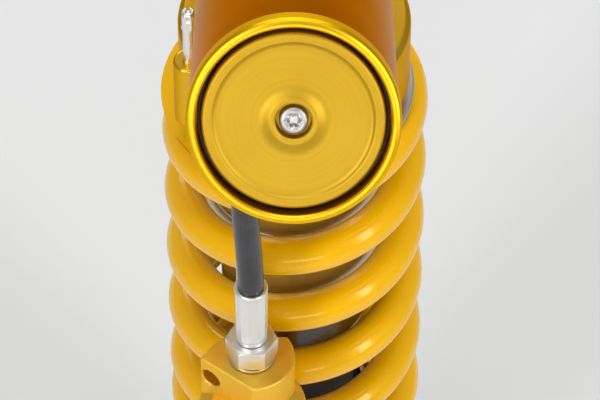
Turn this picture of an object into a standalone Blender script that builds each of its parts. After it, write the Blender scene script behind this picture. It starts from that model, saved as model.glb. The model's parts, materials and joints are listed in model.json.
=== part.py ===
"""Motorcycle rear shock absorber with an angled reservoir and a hydraulic preload adjuster.

Metres, +Z up along the damper. The origin is the centre of the upper eye, X runs along the
eye's bolt, and the reservoir leans out towards -Y.
"""

import math

import bmesh
import bpy
from mathutils import Vector

ACROSS = (1, 0, 0)  # along the eyes' bolts

# Clearances
GAP = 0.0003  # between pieces that rest on or fit in each other
SLIDE_GAP = 0.0005  # between pieces that slide in each other
SWING_GAP = 0.0040  # between a moving piece and what it passes

# Upper eye and its spherical bearing
EYE_RADIUS = 0.0160
EYE_HALF_WIDTH = 0.0110
BOLT_RADIUS = 0.0051
BALL_RADIUS = 0.0095
BALL_HALF_WIDTH = 0.0075
RACE_RADIUS = 0.0120
RACE_HALF_WIDTH = 0.0060
CIRCLIP_THICKNESS = 0.0010
CIRCLIP_WIDTH = 0.0022
SPACER_RADIUS = 0.0078
SPACER_REACH = 0.0140  # from the eye's middle to the spacer's outer face

# Damper tube, and the sizes that stack outwards from it
TUBE_RADIUS = 0.0230
TUBE_WALL = 0.0030
TUBE_LENGTH = 0.1387
SLEEVE_WALL = 0.0035
COIL_CLEARANCE = 0.00126  # from the seat's sleeve to the coils
WIRE_RADIUS = 0.00587
PRELOAD_RING_WIDTH = 0.0065
HEAD_WALL = 0.0040
NECK_WALL = 0.0040

# Head casting, from the top down
NECK_OVERLAP = 0.0020
HEAD_DROP = 0.0120  # from the eye's underside to the head's top face
HEAD_HEIGHT = 0.0250
HEAD_ROOF = 0.0060
SOCKET_ROOF = 0.0060
SADDLE_HALF_WIDTH = 0.0200
SADDLE_DEPTH = 0.0245  # below the reservoir's axis
RIB_HALF_WIDTH = 0.0090
RIB_HEIGHT = 0.0200  # above the reservoir's axis
BRACKET_BOSS_HALF_WIDTH = 0.0055
BOSS_ROOT_Y = -0.0250
SEAT_DROP = 0.0040  # from the head's lower edge to the spring seat

# Spring
COIL_PITCH = 0.02759
ACTIVE_TURNS = 5.058
END_TURNS = 0.79
END_PITCH = 0.0076
GROUND_OFFSET = 0.0031  # from the end coil's centre to the ground face
COIL_MIDDLE_ANGLE = math.radians(-100.5)
SEAT_THICKNESS = 0.0030
SLEEVE_LENGTH = 0.0700

# Piston and shaft
SHAFT_RADIUS = 0.0080
SHAFT_BORE = 0.0025
SPIGOT_RADIUS = 0.0050
PISTON_HEIGHT = 0.0160
PISTON_DROP = 0.0460  # from the seal head's flange up to the piston's underside
SHIM_STACK = 0.0024
NUT_HEIGHT = 0.0070
NUT_FLATS = 0.0170
SEAL_HEAD_HEIGHT = 0.0190
SEAL_FLANGE = 0.0037

# Lower seat, clevis and bump rubber
LOWER_SEAT_THICKNESS = 0.0080
SEAT_LIP_GAP = 0.0008  # from the seat's lip to the coils
CLEVIS_FLANGE = 0.0085
CLEVIS_FLANGE_RADIUS = 0.0270
CUP_RADIUS = 0.0215
RUBBER_RADIUS = 0.0190
RUBBER_LENGTH = 0.0410
BUMP_WASHER = 0.0018
CLEVIS_DROP = 0.0770  # from the clevis flange's underside to the lower bolt
CLEVIS_HALF_WIDTH = 0.0190
CLEVIS_HALF_DEPTH = 0.0110
CLEVIS_SLOT = 0.0100  # half of the gap between the arms
CLEVIS_END_RADIUS = 0.0135
SLOT_REACH = 0.0260  # from the lower bolt up to the slot's roof
BUSH_RADIUS = 0.0068
REBOUND_KNOB_RADIUS = 0.0125
REBOUND_KNOB_HEIGHT = 0.0100
WINDOW_DROP = 0.0190  # from the clevis flange's underside to the knob's window
WINDOW_HEIGHT = 0.0110

# Reservoir
RESERVOIR_TILT = math.radians(31.5)
RESERVOIR_RADIUS = 0.0275
RESERVOIR_WALL = 0.0027
RESERVOIR_LENGTH = 0.1120
RESERVOIR_DROP = 0.0058  # how far its axis passes below the eye's centre
RESERVOIR_GAP = 0.0135  # from its end to the eye
RIM_EXTRA = 0.0005
RIM_DEPTH = 0.0060
FLANGE_THICKNESS = 0.0077
SPIGOT_LENGTH = 0.0090
CAP_RADIUS = 0.0239
CAP_GROOVE = 0.00145
DISH_RADIUS = 0.0212
HUB_RADIUS = 0.0065
CAP_SCREW_RADIUS = 0.0038
FLOAT_HEIGHT = 0.0200
FLOAT_PLACE = 0.0520

# Compression adjuster, in its boss on the head's left side
VALVE_ANGLE = math.radians(210.55)
VALVE_WALL = 0.005116  # from the preload bore to the valve's axis
VALVE_BOSS_RADIUS = 0.0048
VALVE_STEM_RADIUS = 0.00175
VALVE_STEM_REACH = 0.0140
VALVE_HEAD_RADIUS = 0.0021
VALVE_HEAD_HEIGHT = 0.0070

# Hose and its fittings
HOSE_RADIUS = 0.00395
HOSE_X = -0.0144
HOSE_CLEARANCE = 0.0140  # from the coils to the hose's axis
HOSE_LEAN = 0.0015
BANJO_Z = -0.0220
BANJO_RADIUS = 0.0065
BANJO_WIDTH = 0.0080
BANJO_BOLT_RADIUS = 0.0030
BANJO_NECK_RADIUS = 0.0034
BANJO_HEAD_FLATS = 0.0100
CRUSH_WASHER = 0.0010
FERRULE_RADIUS = 0.0051
FERRULE_LENGTH = 0.0150
HOSE_LENGTH = 0.0420
LOWER_FERRULE_LENGTH = 0.0242
UNION_FLATS = 0.0137
UNION_HEIGHT = 0.0077
UNION_WASHER_RADIUS = 0.00715
UNION_SPIGOT_RADIUS = 0.0040
UNION_SPIGOT = 0.0100  # how far it reaches into the adjuster body

# Preload adjuster body, piston, spindle and knob
BODY_TOP_HEIGHT = 0.0170
HOUSING_RADIUS = 0.0165
HOUSING_LENGTH = 0.0600
HOUSING_BORE = 0.0110
HOUSING_ROOF = 0.0045
GLAND_RADIUS = 0.0130
GLAND_HEIGHT = 0.0050
MASTER_LENGTH = 0.0280
SPINDLE_RADIUS = 0.0040
KNOB_RADIUS = 0.0160
KNOB_HEIGHT = 0.0150
KNOB_FLUTES = 12
KNOB_FLUTE_DEPTH = 0.0009
KNOB_SOCKET_DEPTH = 0.0065
KNOB_RECESS_RADIUS = 0.0062
KNOB_KEY_FLATS = 0.0040
BODY_RADIUS = 0.0130
EAR_REACH = 0.0158  # from the union's axis to the ear's outer corner
EAR_DEPTH = 0.0075
EAR_WALL = 0.0008
EAR_HOLE_RADIUS = 0.0032
EAR_HOLE_DROP = 0.0072
EAR_FACE = Vector((-0.6, -0.8, 0))
BRACKET_HALF_WIDTH = 0.0030
BRACKET_THICKNESS = 0.0030
BRACKET_CLEARANCE = 0.0033  # from the coils
BRACKET_SCREW_RADIUS = 0.0016


# Sides of the turned shapes
LARGE = 24
MEDIUM = 18
SMALL = 12

# Radii and heights that follow
SLEEVE_BORE = TUBE_RADIUS + SLIDE_GAP
SLEEVE_RADIUS = SLEEVE_BORE + SLEEVE_WALL
COIL_RADIUS = SLEEVE_RADIUS + COIL_CLEARANCE + WIRE_RADIUS
SPRING_RADIUS = COIL_RADIUS + WIRE_RADIUS
SEAT_RADIUS = COIL_RADIUS + 0.0017
PRELOAD_RADIUS = SLEEVE_BORE + PRELOAD_RING_WIDTH
HEAD_BORE = PRELOAD_RADIUS + GAP
HEAD_RADIUS = HEAD_BORE + HEAD_WALL
VALVE_X = (HEAD_BORE + VALVE_WALL) * math.cos(VALVE_ANGLE)
VALVE_Y = (HEAD_BORE + VALVE_WALL) * math.sin(VALVE_ANGLE)
NECK_RADIUS = TUBE_RADIUS + NECK_WALL
TUBE_BORE = TUBE_RADIUS - TUBE_WALL

HEAD_TOP = -EYE_RADIUS - HEAD_DROP
HEAD_BOTTOM = HEAD_TOP - HEAD_HEIGHT
NECK_TOP = -EYE_RADIUS + NECK_OVERLAP
SOCKET_TOP = NECK_TOP - SOCKET_ROOF
TUBE_TOP = SOCKET_TOP - GAP
TUBE_BOTTOM = TUBE_TOP - TUBE_LENGTH
SEAT_TOP = HEAD_BOTTOM - SEAT_DROP
SEAT_UNDERSIDE = SEAT_TOP - SEAT_THICKNESS
SPRING_TOP = SEAT_UNDERSIDE - GAP
SPRING_LENGTH = ACTIVE_TURNS * COIL_PITCH + 2 * GROUND_OFFSET
SPRING_BOTTOM = SPRING_TOP - SPRING_LENGTH
LOWER_SEAT_TOP = SPRING_BOTTOM - GAP
CLEVIS_TOP = LOWER_SEAT_TOP - LOWER_SEAT_THICKNESS - GAP
CLEVIS_SHOULDER = CLEVIS_TOP - CLEVIS_FLANGE
LOWER_PIVOT_Z = CLEVIS_SHOULDER - CLEVIS_DROP
SEAL_FLANGE_TOP = TUBE_BOTTOM - GAP
SEAL_FLANGE_BOTTOM = SEAL_FLANGE_TOP - SEAL_FLANGE
CUP_FLOOR = CLEVIS_TOP - CLEVIS_FLANGE + 0.0040
PISTON_BOTTOM = SEAL_FLANGE_BOTTOM + PISTON_DROP
PISTON_TOP = PISTON_BOTTOM + PISTON_HEIGHT

RESERVOIR_AXIS = Vector((0, math.cos(RESERVOIR_TILT), -math.sin(RESERVOIR_TILT)))
RESERVOIR_UP = Vector((0, math.sin(RESERVOIR_TILT), math.cos(RESERVOIR_TILT)))
RESERVOIR_REACH = EYE_RADIUS + RESERVOIR_GAP + RESERVOIR_LENGTH
CAP_CENTRE = -RESERVOIR_REACH * RESERVOIR_AXIS - RESERVOIR_DROP * RESERVOIR_UP
RESERVOIR_BORE = RESERVOIR_RADIUS - RESERVOIR_WALL
FLOAT_RADIUS = RESERVOIR_BORE - GAP

HOSE_Y = -SPRING_RADIUS - HOSE_CLEARANCE
FERRULE_TOP = BANJO_Z - BANJO_RADIUS - 0.0015
HOSE_TOP = FERRULE_TOP - FERRULE_LENGTH - GAP
HOSE_BOTTOM = HOSE_TOP - HOSE_LENGTH
UNION_X = HOSE_X + HOSE_LEAN
LOWER_FERRULE_BOTTOM = HOSE_BOTTOM - GAP - LOWER_FERRULE_LENGTH
UNION_TOP = LOWER_FERRULE_BOTTOM - GAP
UNION_BOTTOM = UNION_TOP - UNION_HEIGHT
BODY_TOP = UNION_BOTTOM - 2 * GAP - CRUSH_WASHER

BRACKET_INNER_Y = -SPRING_RADIUS - BRACKET_CLEARANCE
BRACKET_OUTER_Y = BRACKET_INNER_Y - BRACKET_THICKNESS
BODY_BACK_Y = BRACKET_OUTER_Y - GAP
HOUSING_Y = -SPRING_RADIUS - BRACKET_CLEARANCE + 0.0008 - HOUSING_RADIUS
SHOULDER_TOP = BODY_TOP - BODY_TOP_HEIGHT
HOUSING_BOTTOM = SHOULDER_TOP - HOUSING_LENGTH
BORE_TOP = SHOULDER_TOP - HOUSING_ROOF
MASTER_BOTTOM = HOUSING_BOTTOM + GLAND_HEIGHT + 0.0005
MASTER_TOP = MASTER_BOTTOM + MASTER_LENGTH
KNOB_TOP = HOUSING_BOTTOM - 0.0010


def finish(name, color, roughness, metallic):
    material = bpy.data.materials.new(name)
    material.use_nodes = True
    shader = material.node_tree.nodes["Principled BSDF"]
    shader.inputs["Base Color"].default_value = (*color, 1.0)
    shader.inputs["Roughness"].default_value = roughness
    shader.inputs["Metallic"].default_value = metallic
    return material


def clear_scene():
    for item in list(bpy.data.objects):
        bpy.data.objects.remove(item)


def guide(name, location=(0, 0, 0), direction=(0, 0, 1), parent=None):
    """An empty on a joint's axis, with its own Z along the axis."""
    empty = bpy.data.objects.new(name, None)
    bpy.context.collection.objects.link(empty)
    empty.rotation_mode = "QUATERNION"
    empty.rotation_quaternion = Vector((0, 0, 1)).rotation_difference(Vector(direction))
    empty.location = location
    empty.parent = parent
    return empty


def add(name, mesh, material, location, direction, parent):
    """Links one closed mesh as an object, with its local Z along the direction."""
    bmesh.ops.recalc_face_normals(mesh, faces=mesh.faces)
    data = bpy.data.meshes.new(name)
    mesh.to_mesh(data)
    mesh.free()
    data.materials.append(material)
    data.shade_smooth()
    data.set_sharp_from_angle(angle=math.radians(35))
    item = bpy.data.objects.new(name, data)
    bpy.context.collection.objects.link(item)
    item.rotation_mode = "QUATERNION"
    item.rotation_quaternion = Vector((0, 0, 1)).rotation_difference(Vector(direction))
    item.location = location
    item.parent = parent
    return item


def turned(name, profile, material, location=(0, 0, 0), direction=(0, 0, 1), parent=None, steps=LARGE):
    """Spins a closed outline of (radius, height) points a full turn about the local Z."""
    mesh = bmesh.new()
    points = [mesh.verts.new((radius, 0, height)) for radius, height in profile]
    sides = list(zip(points, points[1:] + points[:1]))
    edges = [mesh.edges.new(pair) for pair in sides if pair[0].co.x > 0 or pair[1].co.x > 0]
    bmesh.ops.spin(mesh, geom=points + edges, axis=(0, 0, 1), cent=(0, 0, 0), angle=math.tau, steps=steps)
    bmesh.ops.remove_doubles(mesh, verts=mesh.verts, dist=1e-6)
    return add(name, mesh, material, location, direction, parent)


def rod(name, radius, low, high, material, location=(0, 0, 0), direction=(0, 0, 1), parent=None, steps=SMALL):
    profile = [(0, low), (radius, low), (radius, high), (0, high)]
    return turned(name, profile, material, location, direction, parent, steps)


def ring(
    name, bore, radius, low, high, material, location=(0, 0, 0), direction=(0, 0, 1), parent=None, steps=LARGE
):
    profile = [(bore, low), (radius, low), (radius, high), (bore, high)]
    return turned(name, profile, material, location, direction, parent, steps)


def prism(name, outline, low, high, material, location=(0, 0, 0), direction=(0, 0, 1), parent=None):
    """Extrudes a flat outline of (x, y) points between two heights."""
    mesh = bmesh.new()
    face = mesh.faces.new([mesh.verts.new((x, y, low)) for x, y in outline])
    made = bmesh.ops.extrude_face_region(mesh, geom=[face])
    raised = [item for item in made["geom"] if isinstance(item, bmesh.types.BMVert)]
    bmesh.ops.translate(mesh, verts=raised, vec=(0, 0, high - low))
    return add(name, mesh, material, location, direction, parent)


def block(name, low, high, material, parent=None):
    """A box between two corners."""
    outline = [(low[0], low[1]), (high[0], low[1]), (high[0], high[1]), (low[0], high[1])]
    return prism(name, outline, low[2], high[2], material, parent=parent)


def side_plate(name, outline, half_width, material, parent=None):
    """A plate across X, from its outline of (y, z) points."""
    mesh = bmesh.new()
    face = mesh.faces.new([mesh.verts.new((-half_width, y, z)) for y, z in outline])
    made = bmesh.ops.extrude_face_region(mesh, geom=[face])
    raised = [item for item in made["geom"] if isinstance(item, bmesh.types.BMVert)]
    bmesh.ops.translate(mesh, verts=raised, vec=(2 * half_width, 0, 0))
    return add(name, mesh, material, (0, 0, 0), (0, 0, 1), parent)


def hexagon(flats, sides=6):
    corner = flats / 2 / math.cos(math.pi / sides)
    angles = [math.tau * index / sides for index in range(sides)]
    return [(corner * math.cos(angle), corner * math.sin(angle)) for angle in angles]


def boolean(target, operation, tools, solver):
    for tool in tools:
        modifier = target.modifiers.new(tool.name, "BOOLEAN")
        modifier.operation = operation
        modifier.solver = solver
        modifier.object = tool
        tool.hide_render = True
        tool.display_type = "WIRE"


def join(target, *tools, solver="EXACT"):
    boolean(target, "UNION", tools, solver)


def cut(target, *tools, solver="EXACT"):
    boolean(target, "DIFFERENCE", tools, solver)


def make_head(gold):
    """The casting that holds the eye, the preload cylinder, the damper tube and the reservoir."""
    top_edge = 0.0015
    outline = [
        (0, HEAD_BOTTOM),
        (HEAD_RADIUS, HEAD_BOTTOM),
        (HEAD_RADIUS, HEAD_TOP - top_edge),
        (HEAD_RADIUS - top_edge, HEAD_TOP),
        (NECK_RADIUS, HEAD_TOP),
        (NECK_RADIUS, NECK_TOP - top_edge),
        (NECK_RADIUS - top_edge, NECK_TOP),
        (0, NECK_TOP),
    ]
    head = turned("head_casting", outline, gold)
    eye = rod("eye_shape", EYE_RADIUS, -EYE_HALF_WIDTH, EYE_HALF_WIDTH, gold, direction=ACROSS, steps=LARGE)
    flange_start = RESERVOIR_LENGTH + GAP
    flange_end = flange_start + FLANGE_THICKNESS
    spigot = flange_start - SPIGOT_LENGTH
    plug = [
        (0, spigot),
        (FLOAT_RADIUS, spigot),
        (FLOAT_RADIUS, flange_start),
        (RESERVOIR_RADIUS - 0.0010, flange_start),
        (RESERVOIR_RADIUS - 0.0010, flange_end),
        (0, flange_end),
    ]
    flange = turned("reservoir_flange_shape", plug, gold, CAP_CENTRE, RESERVOIR_AXIS)
    neck_pad = block(
        "eye_web_shape",
        (-EYE_HALF_WIDTH + 0.0005, -EYE_RADIUS + 0.0007, NECK_TOP - 0.0030),
        (EYE_HALF_WIDTH - 0.0005, EYE_RADIUS - 0.0007, 0),
        gold,
    )
    flange_low = CAP_CENTRE + (flange_end - 0.0006) * RESERVOIR_AXIS - SADDLE_DEPTH * RESERVOIR_UP
    flange_high = CAP_CENTRE + (flange_end - 0.0014) * RESERVOIR_AXIS + 0.0010 * RESERVOIR_UP
    saddle = side_plate(
        "saddle_shape",
        [
            (flange_low.y, flange_low.z),
            (-NECK_RADIUS - 0.0030, HEAD_TOP - 0.0010),
            (NECK_RADIUS / 2, HEAD_TOP - 0.0010),
            (NECK_RADIUS / 2, -EYE_RADIUS - 0.0035),
            (-0.0100, -EYE_RADIUS - 0.0035),
            (-0.0190, -0.0060),
            (flange_high.y, flange_high.z),
        ],
        SADDLE_HALF_WIDTH,
        gold,
    )
    rib_top = CAP_CENTRE + (flange_end - 0.0020) * RESERVOIR_AXIS + RIB_HEIGHT * RESERVOIR_UP
    rib = side_plate(
        "rib_shape",
        [
            (flange_high.y, flange_high.z - 0.0030),
            (rib_top.y, rib_top.z),
            (-0.0030, EYE_RADIUS - 0.0015),
            (-0.0030, 0.0010),
        ],
        RIB_HALF_WIDTH,
        gold,
    )
    valve_top = HEAD_TOP + 0.0010
    valve_place = (VALVE_X, VALVE_Y, 0)
    valve_low = HEAD_BOTTOM + 0.0005
    valve = rod("valve_boss_shape", VALVE_BOSS_RADIUS, valve_low, valve_top, gold, valve_place, steps=MEDIUM)
    banjo_seat = HOSE_Y + BANJO_WIDTH / 2 + CRUSH_WASHER + 2 * GAP
    banjo_boss = rod(
        "banjo_boss_shape",
        BANJO_RADIUS,
        0,
        BOSS_ROOT_Y - banjo_seat,
        gold,
        (HOSE_X, BOSS_ROOT_Y, BANJO_Z),
        (0, -1, 0),
        steps=MEDIUM,
    )
    foot_y = BRACKET_INNER_Y + GAP
    bracket_boss = block(
        "bracket_boss_shape",
        (HOSE_X - BRACKET_BOSS_HALF_WIDTH, foot_y, HEAD_TOP - 0.0225),
        (HOSE_X + BRACKET_BOSS_HALF_WIDTH, BOSS_ROOT_Y, HEAD_TOP - 0.0085),
        gold,
    )
    join(head, eye, neck_pad, flange, saddle, rib, valve, banjo_boss, bracket_boss)

    below = HEAD_BOTTOM - 0.01
    socket = TUBE_RADIUS + GAP
    preload_bore = rod("preload_bore_cutter", HEAD_BORE, below, HEAD_TOP - HEAD_ROOF, gold, steps=LARGE)
    tube_socket = rod("tube_socket_cutter", socket, below, SOCKET_TOP, gold, steps=LARGE)
    eye_bore = rod("eye_bore_cutter", RACE_RADIUS + GAP, -0.03, 0.03, gold, direction=ACROSS, steps=MEDIUM)
    valve_hole = VALVE_STEM_RADIUS + GAP
    valve_bore = rod("valve_bore_cutter", valve_hole, HEAD_BOTTOM + 0.0080, valve_top + 0.01, gold, valve_place)
    banjo_thread = rod(
        "banjo_thread_cutter",
        BANJO_BOLT_RADIUS + GAP,
        -banjo_seat - 0.0120,
        -banjo_seat + 0.01,
        gold,
        (HOSE_X, 0, BANJO_Z),
        (0, -1, 0),
    )
    passage_start = CAP_CENTRE + (spigot - 0.0050) * RESERVOIR_AXIS - 0.0190 * RESERVOIR_UP
    passage_end = Vector((0, -0.0060, SOCKET_TOP - 0.0050))
    passage = rod(
        "oil_passage_cutter",
        0.0025,
        0,
        (passage_end - passage_start).length,
        gold,
        passage_start,
        passage_end - passage_start,
    )
    foot_thread = rod(
        "foot_thread_cutter",
        BRACKET_SCREW_RADIUS + GAP,
        -foot_y - 0.0080,
        -foot_y + 0.01,
        gold,
        (HOSE_X, 0, HEAD_TOP - 0.0155),
        (0, -1, 0),
    )
    bores = (preload_bore, tube_socket, eye_bore, valve_bore, banjo_thread, passage, foot_thread)
    cut(head, *bores, solver="MANIFOLD")


def make_bearing(steel):
    """Spherical bearing in the upper eye: fixed race and circlips, turning ball and spacers."""
    cup = BALL_RADIUS + GAP
    steps = 6
    reach = math.asin(RACE_HALF_WIDTH / cup)
    hollow = [reach - 2 * reach * index / steps for index in range(steps + 1)]
    race = [(cup * math.cos(angle), cup * math.sin(angle)) for angle in hollow]
    race += [(RACE_RADIUS, -RACE_HALF_WIDTH), (RACE_RADIUS, RACE_HALF_WIDTH)]
    turned("bearing_race", race, steel, direction=ACROSS, steps=MEDIUM)
    for side, word in ((-1, "left"), (1, "right")):
        near = side * (RACE_HALF_WIDTH + GAP)
        far = side * (RACE_HALF_WIDTH + GAP + CIRCLIP_THICKNESS)
        ring(
            f"bearing_circlip_{word}",
            RACE_RADIUS - CIRCLIP_WIDTH,
            RACE_RADIUS,
            min(near, far),
            max(near, far),
            steel,
            direction=ACROSS,
            steps=MEDIUM,
        )
    pivot = guide("upper_bearing_axis", direction=ACROSS)
    reach = math.asin(BALL_HALF_WIDTH / BALL_RADIUS)
    crown = [-reach + 2 * reach * index / steps for index in range(steps + 1)]
    ball = [(BALL_RADIUS * math.cos(angle), BALL_RADIUS * math.sin(angle)) for angle in crown]
    bore = BOLT_RADIUS
    ball += [(bore, BALL_HALF_WIDTH), (bore, -BALL_HALF_WIDTH)]
    turned("bearing_ball", ball, steel, parent=pivot, steps=MEDIUM)
    for side, word in ((-1, "left"), (1, "right")):
        near = side * (BALL_HALF_WIDTH + GAP)
        far = side * SPACER_REACH
        collar = side * (BALL_HALF_WIDTH + 0.0020)
        outline = [(bore, near), (SPACER_RADIUS - 0.0020, near), (SPACER_RADIUS - 0.0010, collar)]
        outline += [(SPACER_RADIUS, collar), (SPACER_RADIUS, far), (bore, far)]
        turned(f"ball_spacer_{word}", outline, steel, parent=pivot, steps=MEDIUM)


def make_tube(dark, steel, rubber):
    """Damper tube, with the seal head that closes its lower end round the shaft."""
    bottom_edge = 0.0010
    outline = [
        (TUBE_BORE, TUBE_TOP),
        (TUBE_BORE, TUBE_BOTTOM),
        (TUBE_RADIUS - bottom_edge, TUBE_BOTTOM),
        (TUBE_RADIUS, TUBE_BOTTOM + bottom_edge),
        (TUBE_RADIUS, TUBE_TOP),
    ]
    turned("damper_tube", outline, dark)
    inner = TUBE_BORE - GAP
    bore = SHAFT_RADIUS + GAP
    seal_head = [
        (bore, SEAL_FLANGE_BOTTOM + 0.0045),
        (bore + 0.0030, SEAL_FLANGE_BOTTOM + 0.0045),
        (bore + 0.0030, SEAL_FLANGE_BOTTOM),
        (TUBE_RADIUS - bottom_edge, SEAL_FLANGE_BOTTOM),
        (TUBE_RADIUS - bottom_edge, SEAL_FLANGE_TOP),
        (inner, SEAL_FLANGE_TOP),
        (inner, SEAL_FLANGE_TOP + SEAL_HEAD_HEIGHT),
        (bore, SEAL_FLANGE_TOP + SEAL_HEAD_HEIGHT),
    ]
    turned("seal_head", seal_head, steel, steps=MEDIUM)
    wiper = [
        (bore, SEAL_FLANGE_BOTTOM + 0.0042),
        (bore, SEAL_FLANGE_BOTTOM - 0.0012),
        (bore + 0.0012, SEAL_FLANGE_BOTTOM - 0.0012),
        (bore + 0.0030 - GAP, SEAL_FLANGE_BOTTOM + 0.0004),
        (bore + 0.0030 - GAP, SEAL_FLANGE_BOTTOM + 0.0042),
    ]
    turned("shaft_wiper", wiper, rubber, steps=MEDIUM)


def make_reservoir(gold, satin, bronze, steel, rubber):
    """Barrel, rim and screwed cap at its outer end, and the floating piston inside."""
    axis = guide("reservoir_axis", CAP_CENTRE, RESERVOIR_AXIS)
    rim_radius = RESERVOIR_RADIUS + RIM_EXTRA
    groove = CAP_RADIUS + CAP_GROOVE
    barrel = [
        (RESERVOIR_BORE, RESERVOIR_LENGTH),
        (RESERVOIR_BORE, RIM_DEPTH),
        (RESERVOIR_RADIUS, RIM_DEPTH),
        (RESERVOIR_RADIUS, RESERVOIR_LENGTH - 0.0010),
        (RESERVOIR_RADIUS - 0.0010, RESERVOIR_LENGTH),
    ]
    turned("reservoir_barrel", barrel, bronze, parent=axis)
    front = -0.0012
    rim = [
        (groove, RIM_DEPTH - GAP),
        (groove, front + 0.0004),
        (groove + 0.0004, front),
        (rim_radius - 0.0013, front),
        (rim_radius - 0.0003, front + 0.0005),
        (rim_radius, front + 0.0016),
        (rim_radius, RIM_DEPTH - GAP),
    ]
    turned("reservoir_rim", rim, gold, parent=axis)
    screw_hole = 0.0022
    skirt = FLOAT_RADIUS
    cap = [
        (screw_hole, 0.0032),
        (CAP_SCREW_RADIUS + 0.0009, 0.0032),
        (CAP_SCREW_RADIUS + 0.0009, -0.0002),
        (HUB_RADIUS, -0.0002),
        (HUB_RADIUS + 0.0022, 0.0010),
        (DISH_RADIUS - 0.0004, 0.0010),
        (DISH_RADIUS, 0.0003),
        (CAP_RADIUS - 0.0004, 0.0003),
        (CAP_RADIUS, 0.0007),
        (CAP_RADIUS, RIM_DEPTH + 0.0004),
        (skirt, RIM_DEPTH + 0.0004),
        (skirt, RIM_DEPTH + 0.0040),
        (skirt - 0.0014, RIM_DEPTH + 0.0040),
        (skirt - 0.0014, RIM_DEPTH + 0.0064),
        (skirt, RIM_DEPTH + 0.0064),
        (skirt, RIM_DEPTH + 0.0100),
        (screw_hole, RIM_DEPTH + 0.0100),
    ]
    turned("reservoir_cap", cap, satin, parent=axis)
    clip_low = RIM_DEPTH - 0.0024
    ring("cap_circlip", CAP_RADIUS + 0.0002, groove - 0.0002, clip_low, clip_low + 0.0011, steel, parent=axis)
    seal_low = RIM_DEPTH + 0.0040 + GAP / 2
    seal_high = RIM_DEPTH + 0.0064 - GAP / 2
    ring("cap_seal", skirt - 0.0013, RESERVOIR_BORE - 0.0001, seal_low, seal_high, rubber, parent=axis)
    socket = 0.0018
    screw = [
        (0, 0.0018),
        (socket, 0.0018),
        (socket, 0.0003),
        (CAP_SCREW_RADIUS - 0.0006, 0.0003),
        (CAP_SCREW_RADIUS, 0.0009),
        (CAP_SCREW_RADIUS, 0.0032 - GAP),
        (screw_hole - GAP, 0.0032 - GAP),
        (screw_hole - GAP, RIM_DEPTH + 0.0080),
        (0, RIM_DEPTH + 0.0080),
    ]
    turned("cap_screw", screw, steel, parent=axis, steps=MEDIUM)
    slider = guide("floating_piston_axis", (0, 0, FLOAT_PLACE), parent=axis)
    groove_floor = FLOAT_RADIUS - 0.0016
    piston = [
        (0, 0),
        (FLOAT_RADIUS, 0),
        (FLOAT_RADIUS, 0.0030),
        (groove_floor, 0.0030),
        (groove_floor, 0.0056),
        (FLOAT_RADIUS, 0.0056),
        (FLOAT_RADIUS, 0.0110),
        (groove_floor, 0.0110),
        (groove_floor, 0.0170),
        (FLOAT_RADIUS, 0.0170),
        (FLOAT_RADIUS, FLOAT_HEIGHT),
        (FLOAT_RADIUS - 0.0040, FLOAT_HEIGHT),
        (FLOAT_RADIUS - 0.0040, 0.0050),
        (0, 0.0050),
    ]
    turned("floating_piston", piston, satin, parent=slider)
    outer = FLOAT_RADIUS + 0.0001
    inner = groove_floor + 0.0001
    ring("floating_piston_seal", inner, outer, 0.0031, 0.0055, rubber, parent=slider)
    ring("floating_piston_band", inner, outer, 0.0112, 0.0168, rubber, parent=slider)


def make_compression_adjuster(steel):
    top = HEAD_TOP + 0.0010
    stem_bottom = HEAD_BOTTOM + 0.0085
    axis = guide("compression_axis", (VALVE_X, VALVE_Y, 0))
    head_bottom = top + VALVE_STEM_REACH
    head_top = head_bottom + VALVE_HEAD_HEIGHT
    outline = [
        (0, stem_bottom),
        (VALVE_STEM_RADIUS, stem_bottom),
        (VALVE_STEM_RADIUS, head_bottom),
        (VALVE_HEAD_RADIUS, head_bottom),
        (VALVE_HEAD_RADIUS, head_top - 0.0008),
        (VALVE_HEAD_RADIUS - 0.0008, head_top),
        (0, head_top),
    ]
    stem = turned("compression_adjuster", outline, steel, parent=axis, steps=SMALL)
    slot = block(
        "adjuster_slot_cutter",
        (-0.0005, -0.01, head_top - 0.0016),
        (0.0005, 0.01, head_top + 0.01),
        steel,
        axis,
    )
    cut(stem, slot)


def make_banjo(steel, copper):
    """Hollow bolt, two crush washers and the ring that carries oil into the hose."""
    toward = (0, -1, 0)
    place = (HOSE_X, HOSE_Y, BANJO_Z)
    half = BANJO_WIDTH / 2
    bore = BANJO_BOLT_RADIUS + GAP
    fitting = ring("banjo_fitting", bore, BANJO_RADIUS, -half, half, steel, place, toward, steps=MEDIUM)
    neck_top = BANJO_Z - bore - 0.0012
    collar = rod("banjo_neck_shape", BANJO_NECK_RADIUS, FERRULE_TOP + GAP, neck_top, steel, (HOSE_X, HOSE_Y, 0))
    join(fitting, collar)
    for side, word in ((-1, "inner"), (1, "outer")):
        near = side * (half + GAP)
        far = side * (half + GAP + CRUSH_WASHER)
        ring(
            f"banjo_washer_{word}",
            bore,
            BANJO_RADIUS - 0.0004,
            min(near, far),
            max(near, far),
            copper,
            place,
            toward,
            steps=SMALL,
        )
    seat = half + CRUSH_WASHER + 2 * GAP
    shank = rod("banjo_bolt", BANJO_BOLT_RADIUS, -seat - 0.0100, seat + 0.0020, steel, place, toward)
    hex_head = prism("banjo_head_shape", hexagon(BANJO_HEAD_FLATS), seat, seat + 0.0045, steel, place, toward)
    join(shank, hex_head)


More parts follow.
